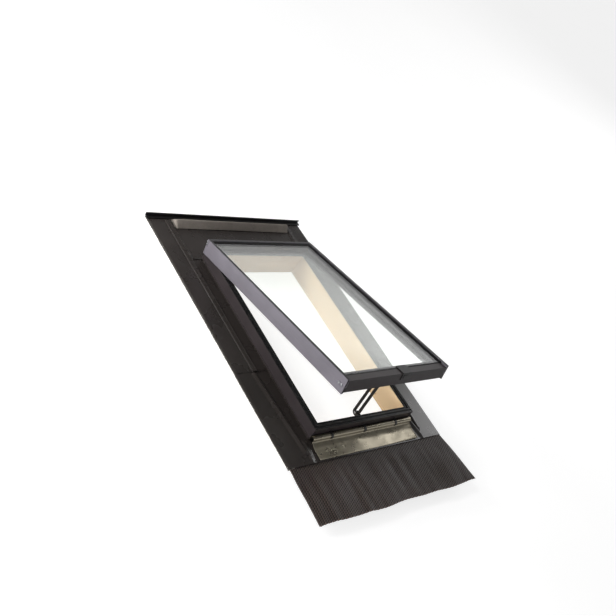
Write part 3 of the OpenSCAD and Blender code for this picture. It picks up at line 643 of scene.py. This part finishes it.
class BuildRimSeal(bpy.types.Operator):
    """Extrudes the frame's rubber rim: an outer lip, a hollow-looking bulb and an inner lip"""

    bl_idname = "roof_window.build_rim_seal"
    bl_label = "Rim seal"

    def execute(self, context):
        lo, hi = corners("rim_seal")
        board = corners("bottom_board")[1]
        inner_x, inner_y = board.x, -board.y
        wide = hi.x - inner_x
        foot, rim = lo.z, hi.z - 2
        mid = wide / 2
        # from the inner lip over the bulb to the outer lip
        section = rounded([(0.6, foot), (0, foot + 0.8), (0, rim - 0.8), (1, rim), (3.6, rim), (4.6, rim - 1),
                           (5, foot + 2.4), (7.4, foot + 2.4)], 0.7, 3)
        section += arc((mid, rim - 1), 3, range(205, -26, -18))
        section += rounded([(mid + 4, foot + 2.4), (wide - 5.2, foot + 2.4), (wide - 4.8, rim - 1),
                            (wide - 3.8, rim + 0.1), (wide - 1.2, rim + 0.1), (wide, rim - 1.4),
                            (wide, foot + 0.8), (wide - 0.6, foot)], 0.7, 3)
        grid = bmesh.new()
        # once round the frame, with 60 steps on each long side and 40 on each short one
        spots = []
        turns = [Vector(p) for p in ((1, -1), (1, 1), (-1, 1), (-1, -1), (1, -1))]
        for here, there, count in zip(turns, turns[1:], (60, 40, 60, 40)):
            spots += [here.lerp(there, i / count) for i in range(count)]
        spots.append(spots[0])
        rows = []
        for sx, sy in spots:
            row = []
            for away, z in section:
                x, y = sx * (inner_x + away), sy * (inner_y + away)
                sag = 0.25 * noise.noise((x / 50, y / 50, 2.0)) if foot + 2.5 < z < rim + 3 else 0
                row.append((x, y, min(z + sag, hi.z)))
            rows.append(row)
        lattice(grid, rows, ring=True)
        bmesh.ops.remove_doubles(grid, verts=grid.verts, dist=0.01 * MM)
        bmesh.ops.recalc_face_normals(grid, faces=grid.faces)
        folded(grid, "rubber_rim", "rim_seal", weld=0.01)
        return {"FINISHED"}


# ---------- operators: the flashing ----------


def outer_edge(x, drop):
    """Underside points of a flange's turned-down outer edge, which ends at x."""
    radius = sizes().edge_radius / MM
    return arc((x - radius, -radius), radius, range(90, -1, -15)) + [
        Vector((x, 0.6 - drop)), Vector((x - 0.25, -drop))]


def rib_line():
    """Where the rib of each side flashing runs: just outside the top flashing's side."""
    return corners("top_flashing")[1].x + RIB_OUTSIDE_TOP


class BuildSideFlashings(bpy.types.Operator):
    """Folds each side flashing: an upstand, a flange with a stiffening rib and a turned-down edge"""

    bl_idname = "roof_window.build_side_flashings"
    bl_label = "Side flashings"

    def execute(self, context):
        size = sizes()
        sheet = size.sheet / MM
        lo, hi = corners("right_flashing")
        board = corners("right_board")[1]
        under = corners("top_flashing")[0].z - sheet
        rib_x = rib_line()
        rib_w, rib_h = size.rib_width / MM, size.rib_height / MM
        strip_y = corners("top_edge_strip")[0].y
        root = board.x + 4
        # the rib's inner edge is hemmed, and stands a little proud as a bright line
        rib_in, rib_out, rib_top = rib_x - rib_w / 2, rib_x + rib_w / 2, rib_h - sheet
        flat = [(root, 0), (rib_in, 0), (rib_in + 1.2, rib_top - 0.1), (rib_in + 2.8, rib_top),
                (rib_in + 3.8, rib_top - 0.9), (rib_out - 1.5, rib_top - 1.3), (rib_out, 0),
                (hi.x - sheet - size.edge_radius / MM - 1, 0)]
        line = closer(rounded(flat, 1.0, 3), 12) + outer_edge(hi.x - sheet, under - lo.z)
        fold = rounded([(board.x, hi.z - under), (board.x, 0), (root, 0)], 3.0, 4)
        ys = steps(lo.y, hi.y, 11, (board.y, board.y + 0.05, *(strip_y - back for back in (9, 6, 3, 1))))
        for name, side in SIDES:
            rows = []
            for y in ys:
                pressed = 1 - ease(y, strip_y - 9, strip_y - 1)
                row = []
                for x, z in line:
                    lift = z * pressed if z > 0 and x < rib_x + rib_w else z
                    row.append((x, y, under + lift + settle(side * x, y)))
                rows.append(row)
            walls = [[upstand(x, y, z, under, side * root) for x, z in fold] for y in ys if y <= board.y]
            lips = [[(board.x + 4 * i / 3, y, under + settle(side * root, y)) for i in range(4)]
                    for y in ys if y > board.y]
            grid = bmesh.new()
            for patch in (rows, walls, lips):
                lattice(grid, mirrored(patch, side))
            folded(grid, name + "_side_flashing", name + "_flashing", size.sheet)
        return {"FINISHED"}


class BuildTopFlashing(bpy.types.Operator):
    """Folds the top flashing: an upstand against the frame and low hems at its two sides"""

    bl_idname = "roof_window.build_top_flashing"
    bl_label = "Top flashing"

    def execute(self, context):
        lo, hi = corners("top_flashing")
        side_x = corners("right_board")[1].x
        strip_y = corners("top_edge_strip")[0].y
        xs = steps(-hi.x + 6, hi.x - 6, 12, (-side_x, side_x))
        # in from the side, and up from the sheet
        hem = [(5.2, 0), (4.4, 0.5), (3.6, 1.8), (3.1, 2.7), (2.2, 3.0), (1.2, 2.9), (0.5, 2.5), (0, 1.6)]
        line = closer(rounded([(lo.y, hi.z), (lo.y, lo.z), (lo.y + 6, lo.z)], 3.0, 4), 8)
        upright = len(line) - 1
        line += [Vector((y, lo.z)) for y in steps(lo.y + 6, hi.y, 11, (strip_y - 4,))[1:]]
        grid = bmesh.new()
        rows, hems = [], {1: [], -1: []}
        for i, (y, z) in enumerate(line):
            droop = [settle(x, y) if z < lo.z + 0.01 else settle(x, y) * (1 - ease(z, lo.z, lo.z + 6))
                     for x in xs]
            rows.append([(x, y, z + d) for x, d in zip(xs, droop)])
            if i >= upright:
                rise = ease(y, lo.y + 6, lo.y + 10) * (1 - ease(y, strip_y - 5, strip_y - 1))
                for side in (1, -1):
                    base = settle(side * (hi.x - 6), y)
                    row = [(side * (hi.x - 6), y, z + base)]
                    row += [(side * (hi.x - a), y, z + base + h * rise) for a, h in hem]
                    hems[side].append(row if side > 0 else row[::-1])
        lattice(grid, rows, keep=lambda i, j: i >= upright - 4 or abs(xs[j] + xs[j + 1]) / 2 < side_x)
        for side in (1, -1):
            lattice(grid, hems[side])
        folded(grid, "top_flashing_sheet", "top_flashing", sizes().sheet)
        return {"FINISHED"}


class BuildBottomFlashing(bpy.types.Operator):
    """Folds and presses the bottom flashing: two arms with a round bead each, joined under the sill"""

    bl_idname = "roof_window.build_bottom_flashing"
    bl_label = "Bottom flashing"

    def execute(self, context):
        size = sizes()
        sheet = size.sheet / MM
        lo, hi = corners("bottom_flashing")
        board = corners("right_board")[1]
        frame_end = corners("right_cladding")[1].y
        arm_end = corners("right_flashing")[0].y
        under = corners("top_flashing")[0].z - 2 * sheet
        rib_x = rib_line()
        root = board.x + 3
        start = Vector((rib_x + 7, arm_end - 13))
        end = Vector((rib_x - 15, -frame_end - 40))
        run = end - start
        radius, tall = size.bead_radius / MM, size.bead_height / MM
        half = math.sqrt(radius ** 2 - (radius - tall) ** 2)

        # the bead slants in from start, by the side flashing's end, to end, below the frame's corner
        def bead(x, y):
            """Height of the pressed bead at a place, with a soft foot."""
            here = Vector((x, y))
            t = min(1, max(0, (here - start).dot(run) / run.length_squared))
            off = (here - start - run * t).length
            crown = math.sqrt(max(0, radius ** 2 - off ** 2)) - (radius - tall)
            return tall * (1 - ease(off, half * 0.15, half * 1.12)) * 0.35 + max(0, crown) * 0.65

        def crease(x, y):
            """Height of the slanting fold that throws water off the corner, beside the sill's end."""
            along = (-frame_end + 4 - y) / (-frame_end + 4 - lo.y)
            crest = board.x + 24 + 12 * along
            rise = ease(x, crest - 19, crest) * (1 - ease(x, crest, crest + 5))
            return 4.2 * rise * ease(along, 0, 0.2) * (1 - ease(along, 0.86, 0.97))

        near = (6, 2, -2, -5, -8, -10, -12)
        ends = [start.y - d for d in near] + [end.y + d for d in near]
        low_ys = steps(lo.y, -board.y - 3, 7)
        ys = sorted({*low_ys, *steps(-board.y - 3, hi.y, 7, (arm_end,)), *(y for y in ends if y > lo.y)})
        edge = outer_edge(hi.x - sheet, under - lo.z)
        edge_x = edge[0].x
        hem_y = lo.y + 3

        def hem(y):
            return 0.8 * (1 - ease(y, hem_y - 1, hem_y + 1))

        across = BEAD_ACROSS
        fold = rounded([(board.x, hi.z - under), (board.x, 0), (root + 3, 0)], 2.6, 4)
        grid = bmesh.new()
        for side in (1, -1):
            rows = []
            for y in ys:
                t = min(1.0, max(0.0, (start.y - y) / (start.y - end.y)))
                centre = start.x + (end.x - start.x) * t
                xs = [root + 3 + (centre - across - root - 3) * i / 12 for i in range(12)]
                xs += [centre - across + i * 1.25 for i in range(25)]
                xs += [centre + across + (edge_x - centre - across) * i / 5 for i in range(5)]
                row = [(x, y, under + max(bead(x, y), crease(x, y)) + hem(y) + settle(side * x, y))
                       for x in xs]
                row += [(p.x, y, under + p.y + (hem(y) if p.y > -0.1 else 0) + settle(side * p.x, y))
                        for p in edge]
                rows.append(row)
            # where the arm goes in under the side flashing it has no turned-down edge
            cut = next((i for i, y in enumerate(ys) if y >= arm_end), len(ys))
            last = len(rows[0]) - 2

            def keep(i, j):
                return i < cut or (j if side > 0 else last - j) < len(xs) - 2

            lattice(grid, mirrored(rows, side), keep=keep)
            legs = [[upstand(x, y, z, under, side * (root + 3)) for x, z in fold]
                    for y in ys if -board.y - 3.01 <= y <= arm_end]
            lattice(grid, mirrored(legs, side))
            lap = [[(root - 1 + 4 * i / 2, y, under + settle(side * (root + 3), y)) for i in range(3)]
                   for y in ys if y >= arm_end]
            lattice(grid, mirrored(lap, side))
        span = steps(-root - 3, root + 3, 12)
        front = closer(rounded([(-board.y - 3, 0), (-board.y, 0), (-board.y, hi.z - under)], 2.4, 4), 8)
        rows = [[(x, y, under + hem(y) + settle(x, y)) for x in span] for y in low_ys]
        lattice(grid, rows)
        narrowed = (board.x - 0.5) / (root + 3)
        rows = [[upstand(x * (1 + (narrowed - 1) * ease(z, 0, 4)), y, z, under, x) for x in span]
                for y, z in front]
        lattice(grid, rows)
        folded(grid, "bottom_flashing_sheet", "bottom_flashing", size.sheet)
        return {"FINISHED"}


class BuildSill(bpy.types.Operator):
    """Rolls the sill sheet: a round roll under the frame, a hollow curve and a flat lower part"""

    bl_idname = "roof_window.build_sill"
    bl_label = "Sill"

    def execute(self, context):
        sheet = sizes().sheet / MM
        lo, hi = corners("sill_flashing")
        roll, hollow = SILL_ROLL, SILL_HOLLOW
        centre = Vector((hi.y - roll, hi.z - roll))
        start = arc(centre, roll, [215])[0]
        top = lo.z + sheet
        turn = math.degrees(math.asin(1 - (start.y - top) / hollow))
        middle = (start.x - hollow * math.cos(math.radians(turn)), top + hollow)
        line = [Vector((hi.y, lo.z + 3)), Vector((hi.y, centre.y - 6))]
        line += arc(centre, roll, range(0, 216, 9))
        roll_end = len(line)
        foot = arc(middle, hollow, (-turn - 2 - (88 - turn) * i / 10 for i in range(11)))
        line += foot
        line += [Vector((y, top)) for y in steps(lo.y, foot[-1].x, 6)[::-1][1:]]
        half = hi.x
        xs = steps(-half + 4, half - 4, 7)
        # each end of the sheet is hemmed
        hem = ((3.4, 0.1), (2.8, 0.5), (2.2, 1.0), (1.4, 1.25), (0.7, 1.0), (0, 0.3))
        ends = [(half - a, h) for a, h in hem]
        places = [(-x, h) for x, h in ends[::-1]] + [(x, 0) for x in xs] + ends
        rows = []
        for i, p in enumerate(line):
            before, after = line[max(0, i - 1)], line[min(len(line) - 1, i + 1)]
            along = (after - before).normalized()
            out = Vector((along.y, -along.x)) if i >= roll_end else Vector((0, 0))
            if out.y < 0:
                out = -out
            row = []
            for x, h in places:
                calm = 1 - ease(abs(x), half - 22, half - 2)
                buckle = (0.9 * noise.noise((x / 70, p.x / 30, 1.7))
                          + 0.35 * noise.noise((x / 24, p.x / 16, 8.0)))
                # the sheet springs up a little towards its right-hand end
                spring = 3.2 * (max(0, x - half + 120) / 120) ** 2
                buckle = max(-0.25, buckle) * (0.35 + 0.65 * calm) + spring
                buckle *= ease(i, roll_end, roll_end + 5)
                crush = 0.35 * noise.noise((x / 30, p.x / 9, 5.0)) if i < roll_end else 0
                y = p.x + out.x * (h + buckle)
                z = p.y + out.y * (h + buckle) + crush * ease(i, 2, 6) * (1 - ease(p.y, hi.z - 4, hi.z))
                row.append((x, max(lo.y, min(hi.y, y)), min(hi.z, z)))
            rows.append(row)
        grid = bmesh.new()
        # rows run from the frame outward, so each is reversed to face the sheet up
        lattice(grid, [row[::-1] for row in rows])
        folded(grid, "sill_sheet_rolled", "sill_flashing", -sizes().sheet)
        refined("sill_clips", "sill_spring_clips", 0.35 * MM, 3)
        return {"FINISHED"}


class BuildWedgeAndStrip(bpy.types.Operator):
    """Cuts the foam wedge on the top flashing and finishes the strip along the top edge"""

    bl_idname = "roof_window.build_wedge_and_strip"
    bl_label = "Foam wedge and edge strip"

    def execute(self, context):
        lo, hi = corners("top_wedge")
        ridge = (lo.y + hi.y) / 2
        section = closer(rounded([
            (ridge, lo.z), (lo.y + 1, lo.z), (lo.y, lo.z + 2.5), (ridge - 1, hi.z - 0.2),
            (ridge + 1, hi.z - 0.2), (hi.y - 3, lo.z + 4), (hi.y, lo.z), (ridge + 4, lo.z)], 1.2, 3), 6)
        grid = bmesh.new()
        rows = []
        for x in steps(lo.x, hi.x, 7):
            end = 1 - 0.06 * (1 - ease(hi.x - abs(x), 0, 2.5))
            row = []
            for y, z in section:
                lump = 0.45 * noise.noise((x / 26, y / 12, z / 12)) + 0.2 * noise.noise((x / 8, y / 8, z / 8))
                rise = (z - lo.z) * end + lump * ease(z, lo.z, lo.z + 5) - 0.4
                row.append((x, ridge + (y - ridge) * end, lo.z + max(0, rise)))
            rows.append(row)
        solid(grid, rows)
        wedge = folded(grid, "foam_wedge", "top_wedge")
        refined("top_edge_strip", "top_edge_strip_profile", 0.4 * MM, 4)
        return {"FINISHED"}


class BuildFoamStrips(bpy.types.Operator):
    """Lays the foam strips that seal the side flanges to the battens below them"""

    bl_idname = "roof_window.build_foam_strips"
    bl_label = "Foam strips"

    def execute(self, context):
        lo, hi = corners("right_foam")
        sheet = sizes().sheet / MM
        low_top = hi.z - sheet
        step_z, step_x = lo.z + 6, hi.x - 5.5
        lap = corners("bottom_flashing")[1].y
        for name, side in SIDES:
            rows = []
            for y in steps(lo.y, hi.y, 5):
                top = low_top + (sheet if y > lap + 3 else 0) - sizes().unevenness / MM
                section = rounded([(lo.x + 6, lo.z), (hi.x, lo.z), (hi.x, step_z), (step_x, step_z),
                                   (step_x, top), (lo.x, top), (lo.x, lo.z), (lo.x + 4, lo.z)], 1.4, 3)
                row = []
                for x, z in section:
                    lump = (0.5 * noise.noise((x / 9, y / 16, z / 9 + side))
                            + 0.25 * noise.noise((x / 4, y / 5, z / 4)))
                    inward = 1 if x < (lo.x + hi.x) / 2 else -1
                    low = max(lo.z, z + lump * 0.5 if z < step_z - 2 else z)
                    row.append((x + inward * abs(lump) * 0.8, y, low))
                rows.append(row)
            grid = bmesh.new()
            solid(grid, mirrored(rows, side))
            strip = folded(grid, name + "_foam_strip", name + "_foam")
        return {"FINISHED"}


class BuildApron(bpy.types.Operator):
    """Crimps the pleated apron that is dressed over the tiles below the window"""

    bl_idname = "roof_window.build_apron"
    bl_label = "Pleated apron"

    def execute(self, context):
        size = sizes()
        pitch, tall = size.pleat_pitch / MM, size.pleat_height / MM
        lo, hi = corners("apron")
        flange = corners("bottom_flashing")[0]
        foam = corners("right_foam")[0]
        tuck = foam.x - 1.8
        edge = -flange.x
        deep = flange.y - lo.y
        top = hi.z
        columns = int(round(2 * edge / pitch)) * 4
        rows = []
        ys = steps(lo.y, hi.y, pitch / 3)
        for y in ys:
            fall = ease(flange.y - y, 0, 60)
            down = max(0.0, flange.y - y)
            left = -edge + 2 - 4 * min(1, down / deep)
            # the right edge flares out, more and more towards its foot
            right = (edge - 2 + APRON_FLARE[0] * min(1, down / (0.45 * deep))
                     + APRON_FLARE[1] * max(0, (down / deep - 0.45) / 0.55))
            row = []
            for j in range(columns + 1):
                u = j / columns
                x = left + (right - left) * u
                wave = (2.2 * math.sin(math.radians(u * 720 + 40))
                        + 1.3 * math.sin(math.radians(u * 1620)))
                pull = y + (wave + 3.8) * (1 - ease(y, lo.y, lo.y + 40))
                crest = (0, 1, 0, -1)[j % 4]
                crimp = math.cos(2 * math.pi * (y - lo.y) / pitch + (math.pi if (j // 4) % 2 else 0))
                z = top - APRON_SHEET - tall / 2 - 0.1 + tall / 2 * crest * (0.3 + 0.7 * crimp)
                roll = (4.2 * noise.noise((x / 150, y / 230, 3.3))
                        + 2.0 * noise.noise((x / 60, y / 110, 9.1)))
                droop = -2.2 * ease(flange.y - y, 90, deep)
                fold = 2.6 * noise.noise((x / 30, y / 260, 6.2))
                row.append((x, pull, z + (roll + fold + droop) * fall))
            rows.append(row)
        grid = bmesh.new()

        def keep(i, j):
            middle = (rows[i][j][0] + rows[i][j + 1][0]) / 2
            return ys[i] < flange.y - 1 or abs(middle) < tuck

        lattice(grid, rows, keep=keep)
        folded(grid, "pleated_apron", "apron", APRON_SHEET * MM)
        return {"FINISHED"}


# ---------- operators: hinges, sash and stay ----------


class FinishHinges(bpy.types.Operator):
    """Rounds the hinge leaves and knuckles, their pins and screws"""

    bl_idname = "roof_window.finish_hinges"
    bl_label = "Hinges"

    def execute(self, context):
        for node in ("frame_hinge_leaves", "hinge_pins", "frame_hinge_screws", "sash_hinge_leaves",
                     "sash_hinge_screws"):
            refined(node, node + "_plated", 0.3 * MM, 1.2)
        return {"FINISHED"}


class FinishSashRails(bpy.types.Operator):
    """Rounds the long edges of the sash rails, with die lines along the side rails"""

    bl_idname = "roof_window.finish_sash_rails"
    bl_label = "Sash rails"

    def execute(self, context):
        turn = sash_turn()
        across = turn @ Matrix.Rotation(math.pi / 2, 4, "Z")
        for edge in ("left", "right", "top", "bottom"):
            along = turn if edge in ("left", "right") else across
            name = edge + "_rail"
            refined(name, name + "_profile", sizes().rail_arris, RAIL_SHORTEST, along, 3)
        refined("corner_screws", "corner_screws_plated", 0.3 * MM, 0.3)
        self.cap_ends(turn)
        return {"FINISHED"}

    def cap_ends(self, turn):
        """Plugs the open ends of both side rails with moulded caps that sit inside the profile's walls"""
        for name, side in SIDES:
            mesh = frame["nodes"][name + "_rail"].data
            shut = [turn.inverted() @ v.co / MM for v in mesh.vertices]
            out_x, end_y = max(side * p.x for p in shut), max(p.y for p in shut)
            low_y, top = min(p.y for p in shut), max(p.z for p in shut)
            foot = min(p.z for p in shut) + 2
            wall, ceiling = out_x - CAP_INSET, top - CAP_INSET
            for end, y0, y1, low, reach in (("lower", low_y + 0.6, low_y + 3.5, foot, 9.5),
                                            ("upper", end_y - 5, end_y - 0.6, top - 23, 8)):
                outline = rounded([
                    (out_x - 5, ceiling), (wall, ceiling), (wall, low), (out_x - reach, low),
                    (out_x - reach, ceiling), (out_x - 5, ceiling)], 0.6, 2)
                grid = bmesh.new()
                rows = [[(x, y, z) for x, z in outline[:-1]] for y in (y0, y0 + 0.01, y1 - 0.01, y1)]
                solid(grid, mirrored(rows, side))
                cap = as_mesh(grid, "rail_end_cap")
                show(cap, name + "_rail_cap_" + end, "glass_clip", turn, stands_for=False)


class FinishGlazing(bpy.types.Operator):
    """Grinds the edges of both panes and finishes the spacer, tape, gasket and glass clip"""

    bl_idname = "roof_window.finish_glazing"
    bl_label = "Glazing"

    def execute(self, context):
        for node in ("outer_pane", "inner_pane"):
            refined(node, node + "_float", sizes().glass_arris, 3, rounds=1)
        for node in ("pane_spacer", "bedding_tape"):
            refined(node, node + "_strip", 0.3 * MM, 6)
        refined("glazing_gasket", "glazing_gasket_lip", 0.4 * MM, 6, rounds=3)
        refined("glass_clip", "glass_clip_moulded", 0.5 * MM, 3, rounds=3)
        return {"FINISHED"}


class FinishStay(bpy.types.Operator):
    """Rounds the slotted stay, its bracket on the sash and its catch on the frame"""

    bl_idname = "roof_window.finish_stay"
    bl_label = "Stay and catch"

    def execute(self, context):
        refined("stay_bar", "slotted_stay_moulded", 0.7 * MM, 0.3, rounds=3)
        for node in ("stay_bracket", "catch_bracket"):
            refined(node, node + "_moulded", 0.35 * MM, 0.5)
        for node in ("stay_bracket_screws", "stay_pivot_pin", "catch_pin", "catch_screws"):
            refined(node, node + "_plated", 0.2 * MM, 0.2)
        return {"FINISHED"}


# ---------- operator: the stage ----------


def softbox(name, place, aim, wide, tall, power):
    """A rectangular studio light at a place, turned to a point."""
    lamp = bpy.data.lights.new(name, "AREA")
    lamp.shape = "RECTANGLE"
    lamp.size, lamp.size_y = wide, tall
    lamp.energy = power
    light = bpy.data.objects.new(name, lamp)
    light.location = place
    light.rotation_euler = (Vector(aim) - Vector(place)).to_track_quat("-Z", "Y").to_euler()
    bpy.context.scene.collection.objects.link(light)
    return light


class SetStage(bpy.types.Operator):
    """Lays a pale floor, sets soft studio light and places the camera"""

    bl_idname = "roof_window.set_stage"
    bl_label = "Stage"

    def execute(self, context):
        scene = context.scene
        # Painted floor, rolled matt white: bright and even, so that the object stands out against it
        material, tree, shader = surface(
            "floor_rolled_matt_white", Roughness=0.85, Specular_IOR_Level=0.1,
            Emission_Color=(*lin("#ffffff"), 1))
        place = add(tree, "TexCoord").outputs["Object"]
        cloud = add(tree, "TexNoise", {"Scale": per(900), "Detail": 2}, {"Vector": place})
        whites = [(0.3, lin("#b4b4b4")), (0.7, lin("#b8b8b8"))]
        tone = add(tree, "ValToRGB", {"stops": whites}, {"Fac": cloud})
        # it glows only where it is looked at, so that the object mirrors a dimmer floor
        looked_at = add(tree, "LightPath").outputs["Is Camera Ray"]
        glow = add(tree, "MapRange", {"To Min": 0.25, "To Max": 0.74}, {"Value": looked_at})
        feed(tree, shader, {"Base Color": tone, "Emission Strength": glow})
        grid = bmesh.new()
        spots = (-FLOOR_HALF, 0, FLOOR_HALF)
        lattice(grid, [[(x, y, 0) for x in spots] for y in spots])
        mesh = as_mesh(grid, "studio_floor")
        mesh.materials.append(material)
        floor = bpy.data.objects.new("studio_floor", mesh)
        scene.collection.objects.link(floor)

        # Room light: bright low down on the right, dim on the left and overhead, plain where seen
        world = bpy.data.worlds.new("studio_room")
        world.use_nodes = True
        tree = world.node_tree
        sky = tree.nodes["Background"]
        way = add(tree, "TexCoord").outputs["Generated"]
        toward = add(tree, "SeparateXYZ", {}, {0: way})
        glow = add(tree, "ValToRGB", {"stops": [
            (0.0, 1.0), (0.22, 1.0), (0.31, 1.65), (0.38, 0.8), (0.46, 0.12), (0.75, 0.12), (1.0, 0.5)]}, {
                "Fac": toward.outputs["Z"]})
        side = add(tree, "MapRange", {"From Min": -0.3, "From Max": 0.4, "To Min": 0.35}, {
            "Value": toward.outputs["X"]})
        uneven = add(tree, "Mix", TINT, {6: glow, 7: side})
        seen = add(tree, "LightPath").outputs["Is Camera Ray"]
        shown = add(tree, "Mix", {"data_type": "RGBA", 7: (*lin("#f8f8f8"), 1)}, {
            0: seen, 6: uneven.outputs[2]})
        feed(tree, sky, {"Color": shown.outputs[2]})
        scene.world = world

        softbox("softbox_right", (5.25, 0.9, 2.95), (0, -0.1, 0.1), 1.7, 2.2, 55)
        softbox("softbox_back_left", (-1.8, 1.5, 0.8), (-0.24, 0.2, 0.2), 1.3, 1.0, 5)
        softbox("softbox_front_left", (-1.5, -0.9, 0.35), (-0.33, -0.2, 0.03), 0.6, 0.3, 9)
        # these two only fill: mirrored in the panes they would be hard-edged white patches
        for fill in (softbox("fill_back_left", (-1.25, 1.0, 0.62), (-0.24, 0.2, 0.2), 0.5, 0.4, 27),
                     softbox("fill_high_left", (-2.4, 2.2, 3.2), (0, 0, 0.1), 1.6, 1.2, 70)):
            fill.visible_glossy = False

        # in front and to the left, looking up the slope and down at 33 degrees
        camera = bpy.data.objects.new("camera", bpy.data.cameras.new("camera"))
        camera.data.lens = 47.97
        camera.data.sensor_width = 36
        right, up, back = (0.7160, -0.4833, 0.5038), (0.0338, 0.7448, 0.6664), (-0.6973, -0.4601, 0.5496)
        turn = Matrix((right, up, back)).transposed().to_4x4()
        camera.matrix_world = Matrix.Translation((-1.9296, -1.2147, 1.6574)) @ turn
        scene.collection.objects.link(camera)
        scene.camera = camera
        scene.view_settings.view_transform = "Standard"
        return {"FINISHED"}


PIECES = (
    FinishPineLining, FinishFrameCladding, BuildRimSeal, BuildSideFlashings, BuildTopFlashing,
    BuildBottomFlashing, BuildSill, BuildWedgeAndStrip, BuildFoamStrips, BuildApron, FinishHinges,
    FinishSashRails, FinishGlazing, FinishStay, SetStage,
)


class RoofWindowPanel(bpy.types.Panel):
    """Lists the sizes, colours and building steps of the roof window"""

    bl_idname = "VIEW3D_PT_roof_window"
    bl_label = "Roof Window"
    bl_space_type = "VIEW_3D"
    bl_region_type = "UI"
    bl_category = "Roof Window"

    def draw(self, context):
        for group in (context.scene.roof_window_sizes, context.scene.roof_window_colours):
            box = self.layout.box()
            for field in group.__annotations__:
                box.prop(group, field)
        for piece in PIECES:
            self.layout.operator(piece.bl_idname)


CLASSES = (RoofWindowSizes, RoofWindowColours, *PIECES, RoofWindowPanel)


def register():
    for kind in CLASSES:
        bpy.utils.register_class(kind)
    bpy.types.Scene.roof_window_sizes = PointerProperty(type=RoofWindowSizes)
    bpy.types.Scene.roof_window_colours = PointerProperty(type=RoofWindowColours)


def unregister():
    del bpy.types.Scene.roof_window_colours
    del bpy.types.Scene.roof_window_sizes
    for kind in reversed(CLASSES):
        bpy.utils.unregister_class(kind)


def main():
    register()
    for piece in PIECES:
        group, step = piece.bl_idname.split(".")
        getattr(getattr(bpy.ops, group), step)()


if __name__ == "__main__":
    main()
